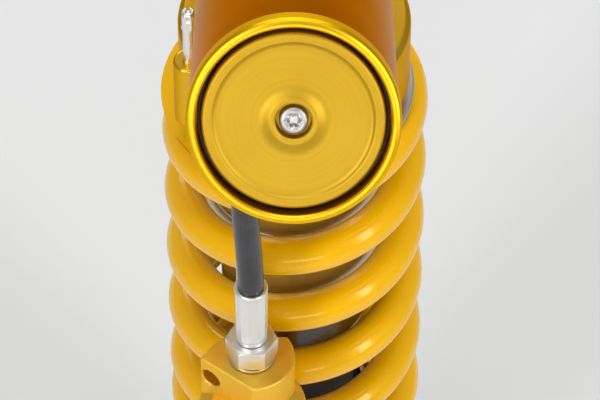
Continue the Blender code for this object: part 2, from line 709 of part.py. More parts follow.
def make_hose(steel, black):
    """Hose between its two crimped ferrules, and the union that screws into the adjuster body."""
    start = Vector((HOSE_X, HOSE_Y, 0))
    ferrule = [
        (0, FERRULE_TOP - FERRULE_LENGTH),
        (FERRULE_RADIUS - 0.0004, FERRULE_TOP - FERRULE_LENGTH),
        (FERRULE_RADIUS, FERRULE_TOP - FERRULE_LENGTH + 0.0010),
        (FERRULE_RADIUS, FERRULE_TOP - 0.0010),
        (FERRULE_RADIUS - 0.0010, FERRULE_TOP),
        (0, FERRULE_TOP),
    ]
    turned("upper_ferrule", ferrule, steel, start, steps=SMALL)
    curve = bpy.data.curves.new("hose", "CURVE")
    curve.dimensions = "3D"
    curve.bevel_depth = HOSE_RADIUS
    curve.bevel_resolution = 4
    curve.use_fill_caps = True
    spline = curve.splines.new("POLY")
    count = 9
    spline.points.add(count - 1)
    for index, point in enumerate(spline.points):
        part = index / (count - 1)
        lean = HOSE_LEAN * (3 - 2 * part) * part * part
        point.co = (HOSE_X + lean, HOSE_Y, HOSE_TOP - part * HOSE_LENGTH, 1)
    curve.materials.append(black)
    hose = bpy.data.objects.new("hose", curve)
    bpy.context.collection.objects.link(hose)
    end = Vector((UNION_X, HOSE_Y, 0))
    top = HOSE_BOTTOM - GAP
    lower = [
        (0, LOWER_FERRULE_BOTTOM),
        (FERRULE_RADIUS - 0.0004, LOWER_FERRULE_BOTTOM),
        (FERRULE_RADIUS - 0.0004, top - 0.0100),
        (FERRULE_RADIUS, top - 0.0080),
        (FERRULE_RADIUS, top - 0.0006),
        (FERRULE_RADIUS - 0.0006, top),
        (0, top),
    ]
    turned("lower_ferrule", lower, steel, end, steps=SMALL)
    nut = prism("hose_union", hexagon(UNION_FLATS), UNION_BOTTOM, UNION_TOP, steel, end)
    spigot_top = UNION_BOTTOM + 0.0020
    spigot = rod("union_spigot_shape", UNION_SPIGOT_RADIUS, BODY_TOP - UNION_SPIGOT, spigot_top, steel, end)
    join(nut, spigot)
    ring(
        "union_washer",
        UNION_SPIGOT_RADIUS + GAP,
        UNION_WASHER_RADIUS,
        BODY_TOP + GAP,
        BODY_TOP + GAP + CRUSH_WASHER,
        steel,
        end,
        steps=MEDIUM,
    )


def body_outline():
    """Plan of the adjuster body's upper part: round about the union, with an ear on its front left."""
    corner = Vector((UNION_X - EAR_REACH, HOSE_Y - 0.0010))
    back = BODY_BACK_Y
    outline = [
        (corner.x, corner.y),
        (corner.x - EAR_DEPTH * EAR_FACE.x, corner.y - EAR_DEPTH * EAR_FACE.y),
        (UNION_X - 0.0084, back),
    ]
    start = math.asin((back - HOSE_Y) / BODY_RADIUS)
    face_distance = (corner - Vector((UNION_X, HOSE_Y))).dot(EAR_FACE.xy)
    finish_angle = math.atan2(EAR_FACE.y, EAR_FACE.x) + math.acos(face_distance / BODY_RADIUS)
    steps = 12
    for index in range(steps + 1):
        angle = start + (finish_angle - start) * index / steps
        outline.append((UNION_X + BODY_RADIUS * math.cos(angle), HOSE_Y + BODY_RADIUS * math.sin(angle)))
    return outline[::-1]


def make_adjuster(gold, black, steel, rubber):
    """Preload adjuster: body with its oil bore, gland, piston, spindle and knob."""
    middle = (UNION_X, HOUSING_Y, 0)
    body = prism("adjuster_body", body_outline(), SHOULDER_TOP, BODY_TOP, gold)
    neck = HOUSING_RADIUS - 0.0040
    shell = [
        (0, HOUSING_BOTTOM),
        (HOUSING_RADIUS - 0.0010, HOUSING_BOTTOM),
        (HOUSING_RADIUS, HOUSING_BOTTOM + 0.0010),
        (HOUSING_RADIUS, SHOULDER_TOP - 0.0010),
        (neck, SHOULDER_TOP + 0.0030),
        (0, SHOULDER_TOP + 0.0030),
    ]
    housing = turned("housing_shape", shell, gold, middle)
    join(body, housing)
    below = HOUSING_BOTTOM - 0.01
    bore = rod("housing_bore_cutter", HOUSING_BORE, below, BORE_TOP, gold, middle, steps=MEDIUM)
    port = UNION_SPIGOT_RADIUS + GAP
    oil_port = rod("oil_port_cutter", port, BORE_TOP - 0.0010, BODY_TOP + 0.01, gold, (UNION_X, HOSE_Y, 0))
    gland_top = HOUSING_BOTTOM + GLAND_HEIGHT
    gland_seat = rod("gland_seat_cutter", GLAND_RADIUS, below, gland_top, gold, middle, steps=MEDIUM)
    along = EAR_HOLE_RADIUS + EAR_WALL
    corner = Vector((UNION_X - EAR_REACH, HOSE_Y - 0.0010, BODY_TOP - EAR_HOLE_DROP))
    ear = corner + along * Vector((-EAR_FACE.y, EAR_FACE.x, 0))
    ear_hole = rod("ear_hole_cutter", EAR_HOLE_RADIUS, -0.0250, 0.0100, gold, ear, EAR_FACE, steps=SMALL)
    foot_thread = rod(
        "body_thread_cutter",
        BRACKET_SCREW_RADIUS + GAP,
        BODY_BACK_Y - 0.0028,
        BODY_BACK_Y + 0.01,
        gold,
        (HOSE_X, 0, BODY_TOP - 0.0070),
        (0, 1, 0),
    )
    cut(body, bore, oil_port, gland_seat, ear_hole, foot_thread, solver="MANIFOLD")
    ring(
        "adjuster_gland",
        SPINDLE_RADIUS + GAP,
        GLAND_RADIUS - GAP,
        HOUSING_BOTTOM,
        HOUSING_BOTTOM + GLAND_HEIGHT - GAP,
        steel,
        middle,
        steps=MEDIUM,
    )
    slider = guide("adjuster_piston_axis", middle)
    radius = HOUSING_BORE - GAP
    floor = radius - 0.0016
    hole = SPINDLE_RADIUS + GAP
    piston = [
        (hole, MASTER_BOTTOM),
        (radius, MASTER_BOTTOM),
        (radius, MASTER_TOP - 0.0060),
        (floor, MASTER_TOP - 0.0060),
        (floor, MASTER_TOP - 0.0034),
        (radius, MASTER_TOP - 0.0034),
        (radius, MASTER_TOP),
        (0, MASTER_TOP),
        (0, MASTER_TOP - 0.0020),
        (hole, MASTER_TOP - 0.0020),
    ]
    turned("adjuster_piston", piston, steel, parent=slider, steps=MEDIUM)
    ring(
        "adjuster_piston_seal",
        floor + 0.0001,
        radius + 0.0001,
        MASTER_TOP - 0.0059,
        MASTER_TOP - 0.0035,
        rubber,
        parent=slider,
        steps=MEDIUM,
    )
    spin = guide("preload_knob_axis", middle)
    spindle_bottom = KNOB_TOP - KNOB_SOCKET_DEPTH + 0.0005
    rod("adjuster_spindle", SPINDLE_RADIUS, spindle_bottom, MASTER_TOP - 0.0025, steel, parent=spin)
    knob_bottom = KNOB_TOP - KNOB_HEIGHT
    outline = []
    points = KNOB_FLUTES * 4
    for index in range(points):
        angle = math.tau * index / points
        radius = KNOB_RADIUS - KNOB_FLUTE_DEPTH * (1 - math.cos(KNOB_FLUTES * angle)) / 2
        outline.append((radius * math.cos(angle), radius * math.sin(angle)))
    knob = prism("preload_knob", outline, knob_bottom, KNOB_TOP, black, parent=spin)
    socket_floor = KNOB_TOP - KNOB_SOCKET_DEPTH
    below = knob_bottom - 0.01
    socket = rod("spindle_socket_cutter", SPINDLE_RADIUS + GAP, socket_floor, KNOB_TOP + 0.01, black, parent=spin)
    recess = rod("knob_recess_cutter", KNOB_RECESS_RADIUS, below, knob_bottom + 0.0035, black, parent=spin)
    cut(knob, socket, recess)
    screw_top = knob_bottom + 0.0032
    screw = rod("knob_screw", 0.0045, knob_bottom + 0.0002, screw_top, steel, parent=spin)
    key = hexagon(KNOB_KEY_FLATS)
    socket_hole = prism("knob_socket_cutter", key, below, knob_bottom + 0.0018, steel, parent=spin)
    cut(screw, socket_hole)


def make_bracket(steel):
    """Strap from the head's foot down to the adjuster body, with a screw at each end."""
    low = BODY_TOP - 0.0110
    high = HEAD_TOP - 0.0095
    strap = block(
        "bracket",
        (HOSE_X - BRACKET_HALF_WIDTH, BRACKET_OUTER_Y, low),
        (HOSE_X + BRACKET_HALF_WIDTH, BRACKET_INNER_Y, high),
        steel,
    )
    top_z = HEAD_TOP - 0.0155
    low_z = BODY_TOP - 0.0070
    hole = BRACKET_SCREW_RADIUS + GAP
    for height, word in ((top_z, "top"), (low_z, "bottom")):
        cutter = rod(f"bracket_{word}_cutter", hole, -0.08, -0.01, steel, (HOSE_X, 0, height), (0, 1, 0))
        cut(strap, cutter)
    head_top = BRACKET_OUTER_Y - GAP
    screw = [
        (0, -head_top - 0.0105),
        (BRACKET_SCREW_RADIUS, -head_top - 0.0105),
        (BRACKET_SCREW_RADIUS, -head_top),
        (0.0026, -head_top),
        (0.0026, -head_top + 0.0014),
        (0.0018, -head_top + 0.0020),
        (0, -head_top + 0.0020),
    ]
    turned("bracket_screw_top", screw, steel, (HOSE_X, 0, top_z), (0, -1, 0), steps=SMALL)
    back = BRACKET_INNER_Y + GAP
    screw = [
        (0, back - 0.0060),
        (BRACKET_SCREW_RADIUS, back - 0.0060),
        (BRACKET_SCREW_RADIUS, back),
        (0.0026, back),
        (0.0026, back + 0.0010),
        (0.0018, back + 0.0016),
        (0, back + 0.0016),
    ]
    turned("bracket_screw_bottom", screw, steel, (HOSE_X, 0, low_z), (0, 1, 0), steps=SMALL)


def make_preload(silver, steel, rubber):
    """Ring piston in the head, and the sleeved seat that it pushes down on the spring."""
    slider = guide("preload_axis")
    top = HEAD_TOP - HEAD_ROOF - 0.0020
    bottom = SEAT_TOP + GAP
    floor = PRELOAD_RADIUS - 0.0016
    piston = [
        (SLEEVE_BORE, bottom),
        (PRELOAD_RADIUS, bottom),
        (PRELOAD_RADIUS, top - 0.0070),
        (floor, top - 0.0070),
        (floor, top - 0.0040),
        (PRELOAD_RADIUS, top - 0.0040),
        (PRELOAD_RADIUS, top),
        (SLEEVE_BORE, top),
    ]
    turned("preload_piston", piston, steel, parent=slider)
    inner = floor + 0.0001
    outer = PRELOAD_RADIUS + 0.0001
    ring("preload_seal", inner, outer, top - 0.0068, top - 0.0042, rubber, parent=slider)
    end = SEAT_TOP - SLEEVE_LENGTH
    lip = end + 0.0280
    seat = [
        (SLEEVE_BORE, SEAT_TOP),
        (SLEEVE_BORE, end),
        (SLEEVE_RADIUS - 0.0016, end),
        (SLEEVE_RADIUS, end + 0.0016),
        (SLEEVE_RADIUS, lip),
        (SLEEVE_RADIUS - 0.0005, lip + 0.0005),
        (SLEEVE_RADIUS - 0.0005, lip + 0.0017),
        (SLEEVE_RADIUS, lip + 0.0022),
        (SLEEVE_RADIUS, SEAT_UNDERSIDE),
        (SEAT_RADIUS, SEAT_UNDERSIDE),
        (SEAT_RADIUS, SEAT_TOP),
    ]
    turned("upper_spring_seat", seat, silver, parent=slider)


def coil_height(turn):
    """Height of the wire's centre over the spring's middle, at a turn counted from the middle."""
    half = ACTIVE_TURNS / 2
    open_turns = max(-half, min(half, turn))
    return open_turns * COIL_PITCH + (turn - open_turns) * END_PITCH


def wire_point(angle, centre):
    """(outward, upward) of a point on the wire's section, flat where the spring's end is ground."""
    side = math.copysign(1, centre)
    face = max(-1, min(1, (SPRING_LENGTH / 2 - abs(centre)) / WIRE_RADIUS))
    start = math.asin(face)
    mirrored = angle if side > 0 else math.tau - angle
    beyond = (mirrored - start) % math.tau
    width = math.pi - 2 * start
    if 0 < beyond < width:
        return math.cos(start) * (1 - 2 * beyond / width) * WIRE_RADIUS, side * face * WIRE_RADIUS
    return math.cos(angle) * WIRE_RADIUS, math.sin(angle) * WIRE_RADIUS


def make_spring(yellow):
    """Round-wire compression spring with closed and ground ends."""
    sides = 8
    steps_per_turn = 16
    last = ACTIVE_TURNS / 2 + END_TURNS
    count = round(2 * last * steps_per_turn)
    mesh = bmesh.new()
    middle = (SPRING_TOP + SPRING_BOTTOM) / 2
    previous = None
    for index in range(count + 1):
        turn = -last + 2 * last * index / count
        centre = coil_height(turn)
        around = COIL_MIDDLE_ANGLE + math.tau * turn
        loop = []
        for side in range(sides):
            out, up = wire_point(math.tau * side / sides, centre)
            radius = COIL_RADIUS + out
            height = middle + centre + up
            loop.append(mesh.verts.new((radius * math.sin(around), -radius * math.cos(around), height)))
        if previous is None:
            mesh.faces.new(loop)
        else:
            for side in range(sides):
                after = (side + 1) % sides
                mesh.faces.new((previous[side], previous[after], loop[after], loop[side]))
        previous = loop
    mesh.faces.new(previous)
    add("spring", mesh, yellow, (0, 0, 0), (0, 0, 1), guide("spring_axis"))


def make_shaft(chrome, steel, rubber, slider):
    """Shaft with its piston, shim stacks and nut."""
    spigot_start = PISTON_BOTTOM - GAP - SHIM_STACK
    shaft_bottom = CUP_FLOOR - 0.0150
    nut_bottom = PISTON_TOP + GAP + SHIM_STACK + GAP
    shaft_top = nut_bottom + NUT_HEIGHT + 0.0015
    shaft = [
        (SHAFT_BORE, shaft_bottom),
        (SHAFT_RADIUS, shaft_bottom),
        (SHAFT_RADIUS, spigot_start - GAP),
        (SPIGOT_RADIUS, spigot_start - GAP),
        (SPIGOT_RADIUS, shaft_top),
        (SHAFT_BORE, shaft_top),
    ]
    turned("damper_shaft", shaft, chrome, parent=slider, steps=MEDIUM)
    inner = SPIGOT_RADIUS + GAP
    outer = TUBE_BORE - SLIDE_GAP
    floor = outer - 0.0012
    band_low = PISTON_BOTTOM + 0.0040
    band_high = PISTON_TOP - 0.0040
    piston = [
        (inner, PISTON_BOTTOM),
        (outer, PISTON_BOTTOM),
        (outer, band_low),
        (floor, band_low),
        (floor, band_high),
        (outer, band_high),
        (outer, PISTON_TOP),
        (inner, PISTON_TOP),
    ]
    turned("main_piston", piston, steel, parent=slider, steps=MEDIUM)
    ring(
        "piston_band",
        floor + 0.0001,
        TUBE_BORE - 0.0004,
        band_low + 0.0001,
        band_high - 0.0001,
        rubber,
        parent=slider,
        steps=MEDIUM,
    )
    for word, near, way in (("rebound", PISTON_BOTTOM - GAP, -1), ("compression", PISTON_TOP + GAP, 1)):
        wide = outer - 0.0040
        stack = [
            (inner, near),
            (wide, near),
            (wide, near + way * SHIM_STACK / 3),
            (wide - 0.0030, near + way * SHIM_STACK / 3),
            (wide - 0.0030, near + way * SHIM_STACK * 2 / 3),
            (wide - 0.0060, near + way * SHIM_STACK * 2 / 3),
            (wide - 0.0060, near + way * SHIM_STACK),
            (inner, near + way * SHIM_STACK),
        ]
        turned(f"{word}_shims", stack, steel, parent=slider, steps=SMALL)
    nut = prism("piston_nut", hexagon(NUT_FLATS), nut_bottom, nut_bottom + NUT_HEIGHT, steel, parent=slider)
    above = nut_bottom + NUT_HEIGHT + 0.01
    hole = rod("nut_bore_cutter", inner, nut_bottom - 0.01, above, steel, parent=slider)
    cut(nut, hole)


def make_lower_end(silver, steel, black, bronze, rubber, slider):
    """Lower spring seat, bump rubber in its cup, and the clevis with its bushes."""
    lip = SLEEVE_RADIUS + COIL_CLEARANCE - SEAT_LIP_GAP
    seat = [
        (CUP_RADIUS + GAP, CLEVIS_TOP + GAP),
        (SPRING_RADIUS - 0.0020, CLEVIS_TOP + GAP),
        (SPRING_RADIUS - 0.0008, CLEVIS_TOP + 0.0015),
        (SPRING_RADIUS - 0.0008, LOWER_SEAT_TOP),
        (lip, LOWER_SEAT_TOP),
        (lip - 0.0010, LOWER_SEAT_TOP + 0.0052),
        (lip - 0.0035, LOWER_SEAT_TOP + 0.0052),
        (lip - 0.0035, LOWER_SEAT_TOP),
        (CUP_RADIUS + GAP, LOWER_SEAT_TOP),
    ]
    turned("lower_spring_seat", seat, silver, parent=slider)
    washer_low = CUP_FLOOR + GAP
    inner = SHAFT_RADIUS + GAP
    washer_top = washer_low + BUMP_WASHER
    ring("bump_washer", inner, RUBBER_RADIUS, washer_low, washer_top, steel, parent=slider, steps=MEDIUM)
    low = washer_top + GAP
    high = low + RUBBER_LENGTH
    waist = RUBBER_RADIUS - 0.0030
    rubber_shape = [
        (inner, low),
        (RUBBER_RADIUS, low),
        (RUBBER_RADIUS, low + RUBBER_LENGTH * 0.40),
        (waist, low + RUBBER_LENGTH * 0.47),
        (RUBBER_RADIUS, low + RUBBER_LENGTH * 0.54),
        (RUBBER_RADIUS, high - 0.0080),
        (waist, high),
        (inner, high),
    ]
    turned("bump_rubber", rubber_shape, rubber, parent=slider, steps=MEDIUM)

    cup = CUP_RADIUS
    clevis_shape = [
        (0, CLEVIS_SHOULDER),
        (CLEVIS_FLANGE_RADIUS - 0.0015, CLEVIS_SHOULDER),
        (CLEVIS_FLANGE_RADIUS, CLEVIS_SHOULDER + 0.0015),
        (CLEVIS_FLANGE_RADIUS, CLEVIS_TOP),
        (cup, CLEVIS_TOP),
        (cup, LOWER_SEAT_TOP - 0.0010),
        (cup - 0.0018, LOWER_SEAT_TOP - 0.0010),
        (cup - 0.0018, CUP_FLOOR),
        (0, CUP_FLOOR),
    ]
    clevis = turned("lower_clevis", clevis_shape, black, parent=slider)
    arms = block(
        "clevis_arms_shape",
        (-CLEVIS_HALF_WIDTH, -CLEVIS_HALF_DEPTH, LOWER_PIVOT_Z),
        (CLEVIS_HALF_WIDTH, CLEVIS_HALF_DEPTH, CLEVIS_SHOULDER + 0.0020),
        black,
        slider,
    )
    ends = rod(
        "clevis_ends_shape",
        CLEVIS_END_RADIUS,
        -CLEVIS_HALF_WIDTH + 0.0005,
        CLEVIS_HALF_WIDTH - 0.0005,
        black,
        (0, 0, LOWER_PIVOT_Z),
        (1, 0, 0),
        slider,
        MEDIUM,
    )
    join(clevis, arms, ends)
    slot = block(
        "clevis_slot_cutter",
        (-CLEVIS_SLOT, -0.05, LOWER_PIVOT_Z - 0.05),
        (CLEVIS_SLOT, 0.05, LOWER_PIVOT_Z + SLOT_REACH),
        black,
        slider,
    )
    window_top = CLEVIS_SHOULDER - WINDOW_DROP
    window_half = REBOUND_KNOB_RADIUS + 0.0007
    window = block(
        "window_cutter",
        (-window_half, -0.05, window_top - WINDOW_HEIGHT),
        (window_half, 0.05, window_top),
        black,
        slider,
    )
    hole = SHAFT_RADIUS + GAP
    floor = CUP_FLOOR - 0.0155
    shaft_hole = rod("shaft_hole_cutter", hole, floor, CUP_FLOOR + 0.01, black, parent=slider, steps=MEDIUM)
    rod_hole = rod("rod_hole_cutter", SHAFT_BORE + GAP, window_top - 0.0010, CUP_FLOOR, black, parent=slider)
    pivot = (0, 0, LOWER_PIVOT_Z)
    bolt_hole = rod("bolt_hole_cutter", BUSH_RADIUS + GAP, -0.03, 0.03, black, pivot, ACROSS, slider, MEDIUM)
    cut(clevis, slot, window, shaft_hole, rod_hole, bolt_hole)
    for side, word in ((-1, "left"), (1, "right")):
        near = side * (CLEVIS_SLOT + 0.0002)
        far = side * (CLEVIS_HALF_WIDTH + 0.0010)
        collar = side * (CLEVIS_HALF_WIDTH + GAP)
        bush = [
            (BOLT_RADIUS, near),
            (BUSH_RADIUS, near),
            (BUSH_RADIUS, collar),
            (BUSH_RADIUS + 0.0018, collar),
            (BUSH_RADIUS + 0.0018, far + side * 0.0006),
            (BOLT_RADIUS, far + side * 0.0006),
        ]
        turned(f"lower_bush_{word}", bush, bronze, pivot, ACROSS, slider, MEDIUM)


def make_rebound(gold, steel, slider):
    """Knob in the clevis's window, and the rod that it turns inside the shaft."""
    spin = guide("rebound_axis", parent=slider)
    middle = CLEVIS_SHOULDER - WINDOW_DROP - WINDOW_HEIGHT / 2
    low = middle - REBOUND_KNOB_HEIGHT / 2
    high = middle + REBOUND_KNOB_HEIGHT / 2
    points = 36
    outline = []
    for index in range(points):
        angle = math.tau * index / points
        radius = REBOUND_KNOB_RADIUS - 0.0006 * (index % 2)
        outline.append((radius * math.cos(angle), radius * math.sin(angle)))
    knob = prism("rebound_knob", outline, low, high, gold, parent=spin)
    hole = rod("knob_bore_cutter", SHAFT_BORE, low + 0.0030, high + 0.01, gold, parent=spin)
    cut(knob, hole)
    top = PISTON_TOP + SHIM_STACK + 0.0040
    rod("rebound_rod", SHAFT_BORE - GAP, low + 0.0030 + GAP, top, steel, parent=spin, steps=12)


def main():
    clear_scene()
    gold = finish("gold_anodised", (0.80, 0.45, 0.04), 0.30, 1.0)
    satin = finish("satin_gold", (0.72, 0.44, 0.06), 0.42, 1.0)
    bronze = finish("bronze_anodised", (0.52, 0.20, 0.03), 0.30, 1.0)
    silver = finish("satin_silver", (0.55, 0.54, 0.52), 0.35, 1.0)
    steel = finish("bright_steel", (0.72, 0.72, 0.72), 0.22, 1.0)
    chrome = finish("hard_chrome", (0.78, 0.78, 0.80), 0.06, 1.0)
    dark = finish("dark_tube", (0.03, 0.03, 0.035), 0.15, 1.0)
    black = finish("black_anodised", (0.02, 0.02, 0.02), 0.35, 0.6)
    hose_black = finish("hose_jacket", (0.05, 0.047, 0.05), 0.40, 0.0)
    rubber = finish("seal_rubber", (0.02, 0.02, 0.02), 0.70, 0.0)
    copper = finish("crush_copper", (0.72, 0.36, 0.20), 0.40, 1.0)
    yellow = finish("spring_yellow", (0.85, 0.45, 0.005), 0.18, 0.0)
    make_head(gold)
    make_bearing(steel)
    make_tube(dark, silver, rubber)
    make_reservoir(gold, satin, bronze, steel, rubber)
    make_compression_adjuster(steel)
    make_banjo(steel, copper)
    make_hose(steel, hose_black)
    make_adjuster(gold, black, steel, rubber)
    make_bracket(steel)
    make_preload(silver, steel, rubber)
    make_spring(yellow)
    slider = guide("stroke_axis", (0, 0, 0))
    make_shaft(chrome, steel, rubber, slider)
    make_lower_end(silver, steel, black, bronze, rubber, slider)
    make_rebound(gold, steel, slider)


main()
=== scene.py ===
"""Looks of the rear shock absorber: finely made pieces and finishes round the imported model."""

import json
import math

import bmesh
import bpy
from mathutils import Matrix, Vector

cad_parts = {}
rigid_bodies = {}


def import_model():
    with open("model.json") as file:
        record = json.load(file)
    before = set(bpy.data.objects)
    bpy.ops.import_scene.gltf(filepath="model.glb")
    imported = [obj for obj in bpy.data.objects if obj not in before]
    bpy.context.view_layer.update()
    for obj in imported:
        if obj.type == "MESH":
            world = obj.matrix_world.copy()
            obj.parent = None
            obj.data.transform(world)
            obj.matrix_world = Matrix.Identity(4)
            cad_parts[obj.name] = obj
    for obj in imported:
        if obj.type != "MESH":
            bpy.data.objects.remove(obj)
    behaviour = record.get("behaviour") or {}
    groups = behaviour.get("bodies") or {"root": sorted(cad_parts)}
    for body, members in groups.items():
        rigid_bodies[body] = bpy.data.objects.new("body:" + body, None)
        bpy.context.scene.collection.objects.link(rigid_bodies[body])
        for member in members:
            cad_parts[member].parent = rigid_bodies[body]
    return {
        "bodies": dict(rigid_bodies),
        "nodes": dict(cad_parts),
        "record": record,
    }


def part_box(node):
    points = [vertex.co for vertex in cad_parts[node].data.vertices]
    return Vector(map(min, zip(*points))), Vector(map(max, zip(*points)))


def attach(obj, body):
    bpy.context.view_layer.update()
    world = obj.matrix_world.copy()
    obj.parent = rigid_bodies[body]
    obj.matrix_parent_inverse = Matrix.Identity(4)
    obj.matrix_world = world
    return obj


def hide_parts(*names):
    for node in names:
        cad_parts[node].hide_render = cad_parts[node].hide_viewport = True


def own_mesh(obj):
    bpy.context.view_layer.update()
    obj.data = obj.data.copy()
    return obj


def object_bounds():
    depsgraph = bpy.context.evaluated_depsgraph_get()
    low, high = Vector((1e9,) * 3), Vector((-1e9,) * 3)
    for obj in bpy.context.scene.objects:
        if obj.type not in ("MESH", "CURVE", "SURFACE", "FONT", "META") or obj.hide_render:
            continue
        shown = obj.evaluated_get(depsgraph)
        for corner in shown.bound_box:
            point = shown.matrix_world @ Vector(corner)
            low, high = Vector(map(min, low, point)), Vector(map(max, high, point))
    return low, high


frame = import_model()
CAD_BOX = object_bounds()

# Camera
CAMERA_ELEVATION = math.radians(50.54)
CAMERA_DISTANCE = 1.326
CAMERA_LENS = 257.8
CAMERA_SHIFT = 0.00164  # sideways, off the damper's axis
CAMERA_DROP = 0.113  # from the upper eye down to where it looks

# Fineness of turned pieces
TURN_STEPS = 144
FINE_STEPS = 64

# Places and sizes shared by several pieces
VALVE = (-0.0305, -0.0180, 0)
EYE_BORE = [
    (0, -0.0160), (0.0142, -0.0160), (0.0123, -0.0096), (0.0123, 0.0096), (0.0142, 0.0160),
    (0, 0.0160),
]
CAP = Vector((0, -0.12370, 0.06897))
TILT = math.radians(31.5)
CAP_AXIS = Vector((0, math.cos(TILT), -math.sin(TILT)))
CAP_UP = Vector((0, math.sin(TILT), math.cos(TILT)))
HOSE_TOP = (-0.0144, -0.0540)
BANJO_HEIGHT = -0.0220
UNION = (-0.0129, -0.0540)
UNION_FLATS = 0.0137
BOLT_FLATS = 0.0100
HOUSING = (UNION[0], -0.0590, 0)
LOWER_PIVOT = -0.30015

# Coil spring
WIRE_RADIUS = 0.00587
COIL_RADIUS = 0.03413
SEAT_CLEARANCE = 0.0006  # sections nearer to a seat than this move with the seat alone
COIL_PITCH = 0.02759
ACTIVE_TURNS = 5.058
END_TURNS = 0.79
END_PITCH = 0.0076
TRANSITION = 0.16
COIL_MIDDLE_ANGLE = math.radians(-100.5)
WIRE_SIDES = 28
COIL_STEPS = 72


# ---------------------------------------------------------------- shader maths


class Wire:
    """A shader socket that adds Math nodes when it is used in an expression."""

    def __init__(self, shader, socket):
        self.shader = shader
        self.socket = socket

    def _math(self, operation, *values):
        return self.shader.node("ShaderNodeMath", {"operation": operation}, dict(enumerate(values)))

    def __add__(self, other):
        return self._math("ADD", self, other)

    def __rsub__(self, other):
        return self._math("SUBTRACT", other, self)

    def __mul__(self, other):
        return self._math("MULTIPLY", self, other)

    def __pow__(self, other):
        return self._math("POWER", self, other)

    def band(self, low, high):
        """0 below low, 1 above high, and smooth between."""
        settings = {"interpolation_type": "SMOOTHSTEP"}
        inputs = {"Value": self, "From Min": low, "From Max": high}
        return self.shader.node("ShaderNodeMapRange", settings, inputs)


class Finish:
    """One material: a Principled shader and the nodes that feed it."""

    def __init__(self, name, color, roughness, metallic, **fixed):
        self.material = bpy.data.materials.new(name)
        self.material.use_nodes = True
        self.tree = self.material.node_tree
        self.surface = self.tree.nodes["Principled BSDF"]
        self.color = color
        self.set("Base Color", (*color, 1.0))
        self.set("Roughness", roughness)
        self.set("Metallic", metallic)
        for socket, value in fixed.items():
            self.set(socket.replace("_", " "), value)
        coordinates = self.tree.nodes.new("ShaderNodeTexCoord")
        self.place = Wire(self, coordinates.outputs["Object"])

    def set(self, socket, value):
        target = self.surface.inputs[socket]
        if isinstance(value, Wire):
            self.tree.links.new(value.socket, target)
        else:
            target.default_value = value

    def node(self, kind, settings=None, inputs=None, output=0):
        """Adds a node: its settings first, then its sockets' values or links."""
        made = self.tree.nodes.new(kind)
        for name, value in (settings or {}).items():
            setattr(made, name, value)
        for name, value in (inputs or {}).items():
            target = made.inputs[name]
            if isinstance(value, Wire):
                self.tree.links.new(value.socket, target)
            else:
                target.default_value = value
        return Wire(self, made.outputs[output])

    def noise(self, scale, detail=3.0, roughness=0.55):
        inputs = {"Vector": self.place, "Scale": scale, "Detail": detail, "Roughness": roughness}
        return self.node("ShaderNodeTexNoise", {}, inputs)

    def apart(self):
        """The place's x, y and z."""
        made = self.tree.nodes.new("ShaderNodeSeparateXYZ")
        self.tree.links.new(self.place.socket, made.inputs[0])
        return [Wire(self, made.outputs[index]) for index in range(3)]

    def radius(self):
        """Distance from the piece's own Z axis."""
        x, y, _ = self.apart()
        return (x * x + y * y) ** 0.5

    def rings(self, across, detail=4.0):
        """Fine marks that a lathe leaves, from one coordinate."""
        inputs = {"W": across, "Scale": 1.0, "Detail": detail, "Roughness": 0.7}
        return self.node("ShaderNodeTexNoise", {"noise_dimensions": "1D"}, inputs)

    def blend(self, amount, first, second):
        settings = {"data_type": "RGBA"}
        inputs = {0: amount, 6: first, 7: second}
        return self.node("ShaderNodeMix", settings, inputs, 2)

    def tint(self, amount, other):
        """The finish's own colour, going to another one by an amount."""
        return self.blend(amount, (*self.color, 1.0), (*other, 1.0))

    def bump(self, height, depth, strength=1.0):
        inputs = {"Strength": strength, "Distance": depth, "Height": height}
        self.set("Normal", self.node("ShaderNodeBump", {}, inputs))

    def edges(self, width=0.0006):
        """1 on convex edges, where a finish wears through."""
        bevel = self.node("ShaderNodeBevel", {"samples": 4}, {"Radius": width})
        straight = self.node("ShaderNodeNewGeometry", {}, {}, "Normal")
        settings = {"operation": "DOT_PRODUCT"}
        dot = self.node("ShaderNodeVectorMath", settings, {0: bevel, 1: straight}, "Value")
        return (1.0 - dot).band(0.02, 0.25)


# ---------------------------------------------------------------- finishes


def glance(color):
    """Colour that a dyed metal reflects at a low angle: its own, a little paler."""
    return tuple(0.30 + 0.65 * value for value in color) + (1.0,)


def powder_yellow():
    """Gloss powder coat on the coils, with a little orange peel and dust."""
    finish = Finish(
        "powder_yellow",
        (0.96, 0.52, 0.001),
        0.26,
        0.0,
        Specular_Tint=(1.0, 0.75, 0.25, 1.0),
        Coat_Weight=0.3,
        Coat_Roughness=0.05,
    )
    cloud = finish.noise(34.0, 2.0)
    finish.set("Base Color", finish.tint(cloud.band(0.35, 0.75) * 0.35, (0.90, 0.45, 0.001)))
    peel = finish.noise(620.0, 2.0, 0.4)
    grit = finish.noise(2600.0, 1.0)
    finish.set("Roughness", cloud * 0.10 + grit * 0.06 + 0.15)
    finish.bump(peel + grit * 0.15, 0.00006, 0.55)
    return finish.material


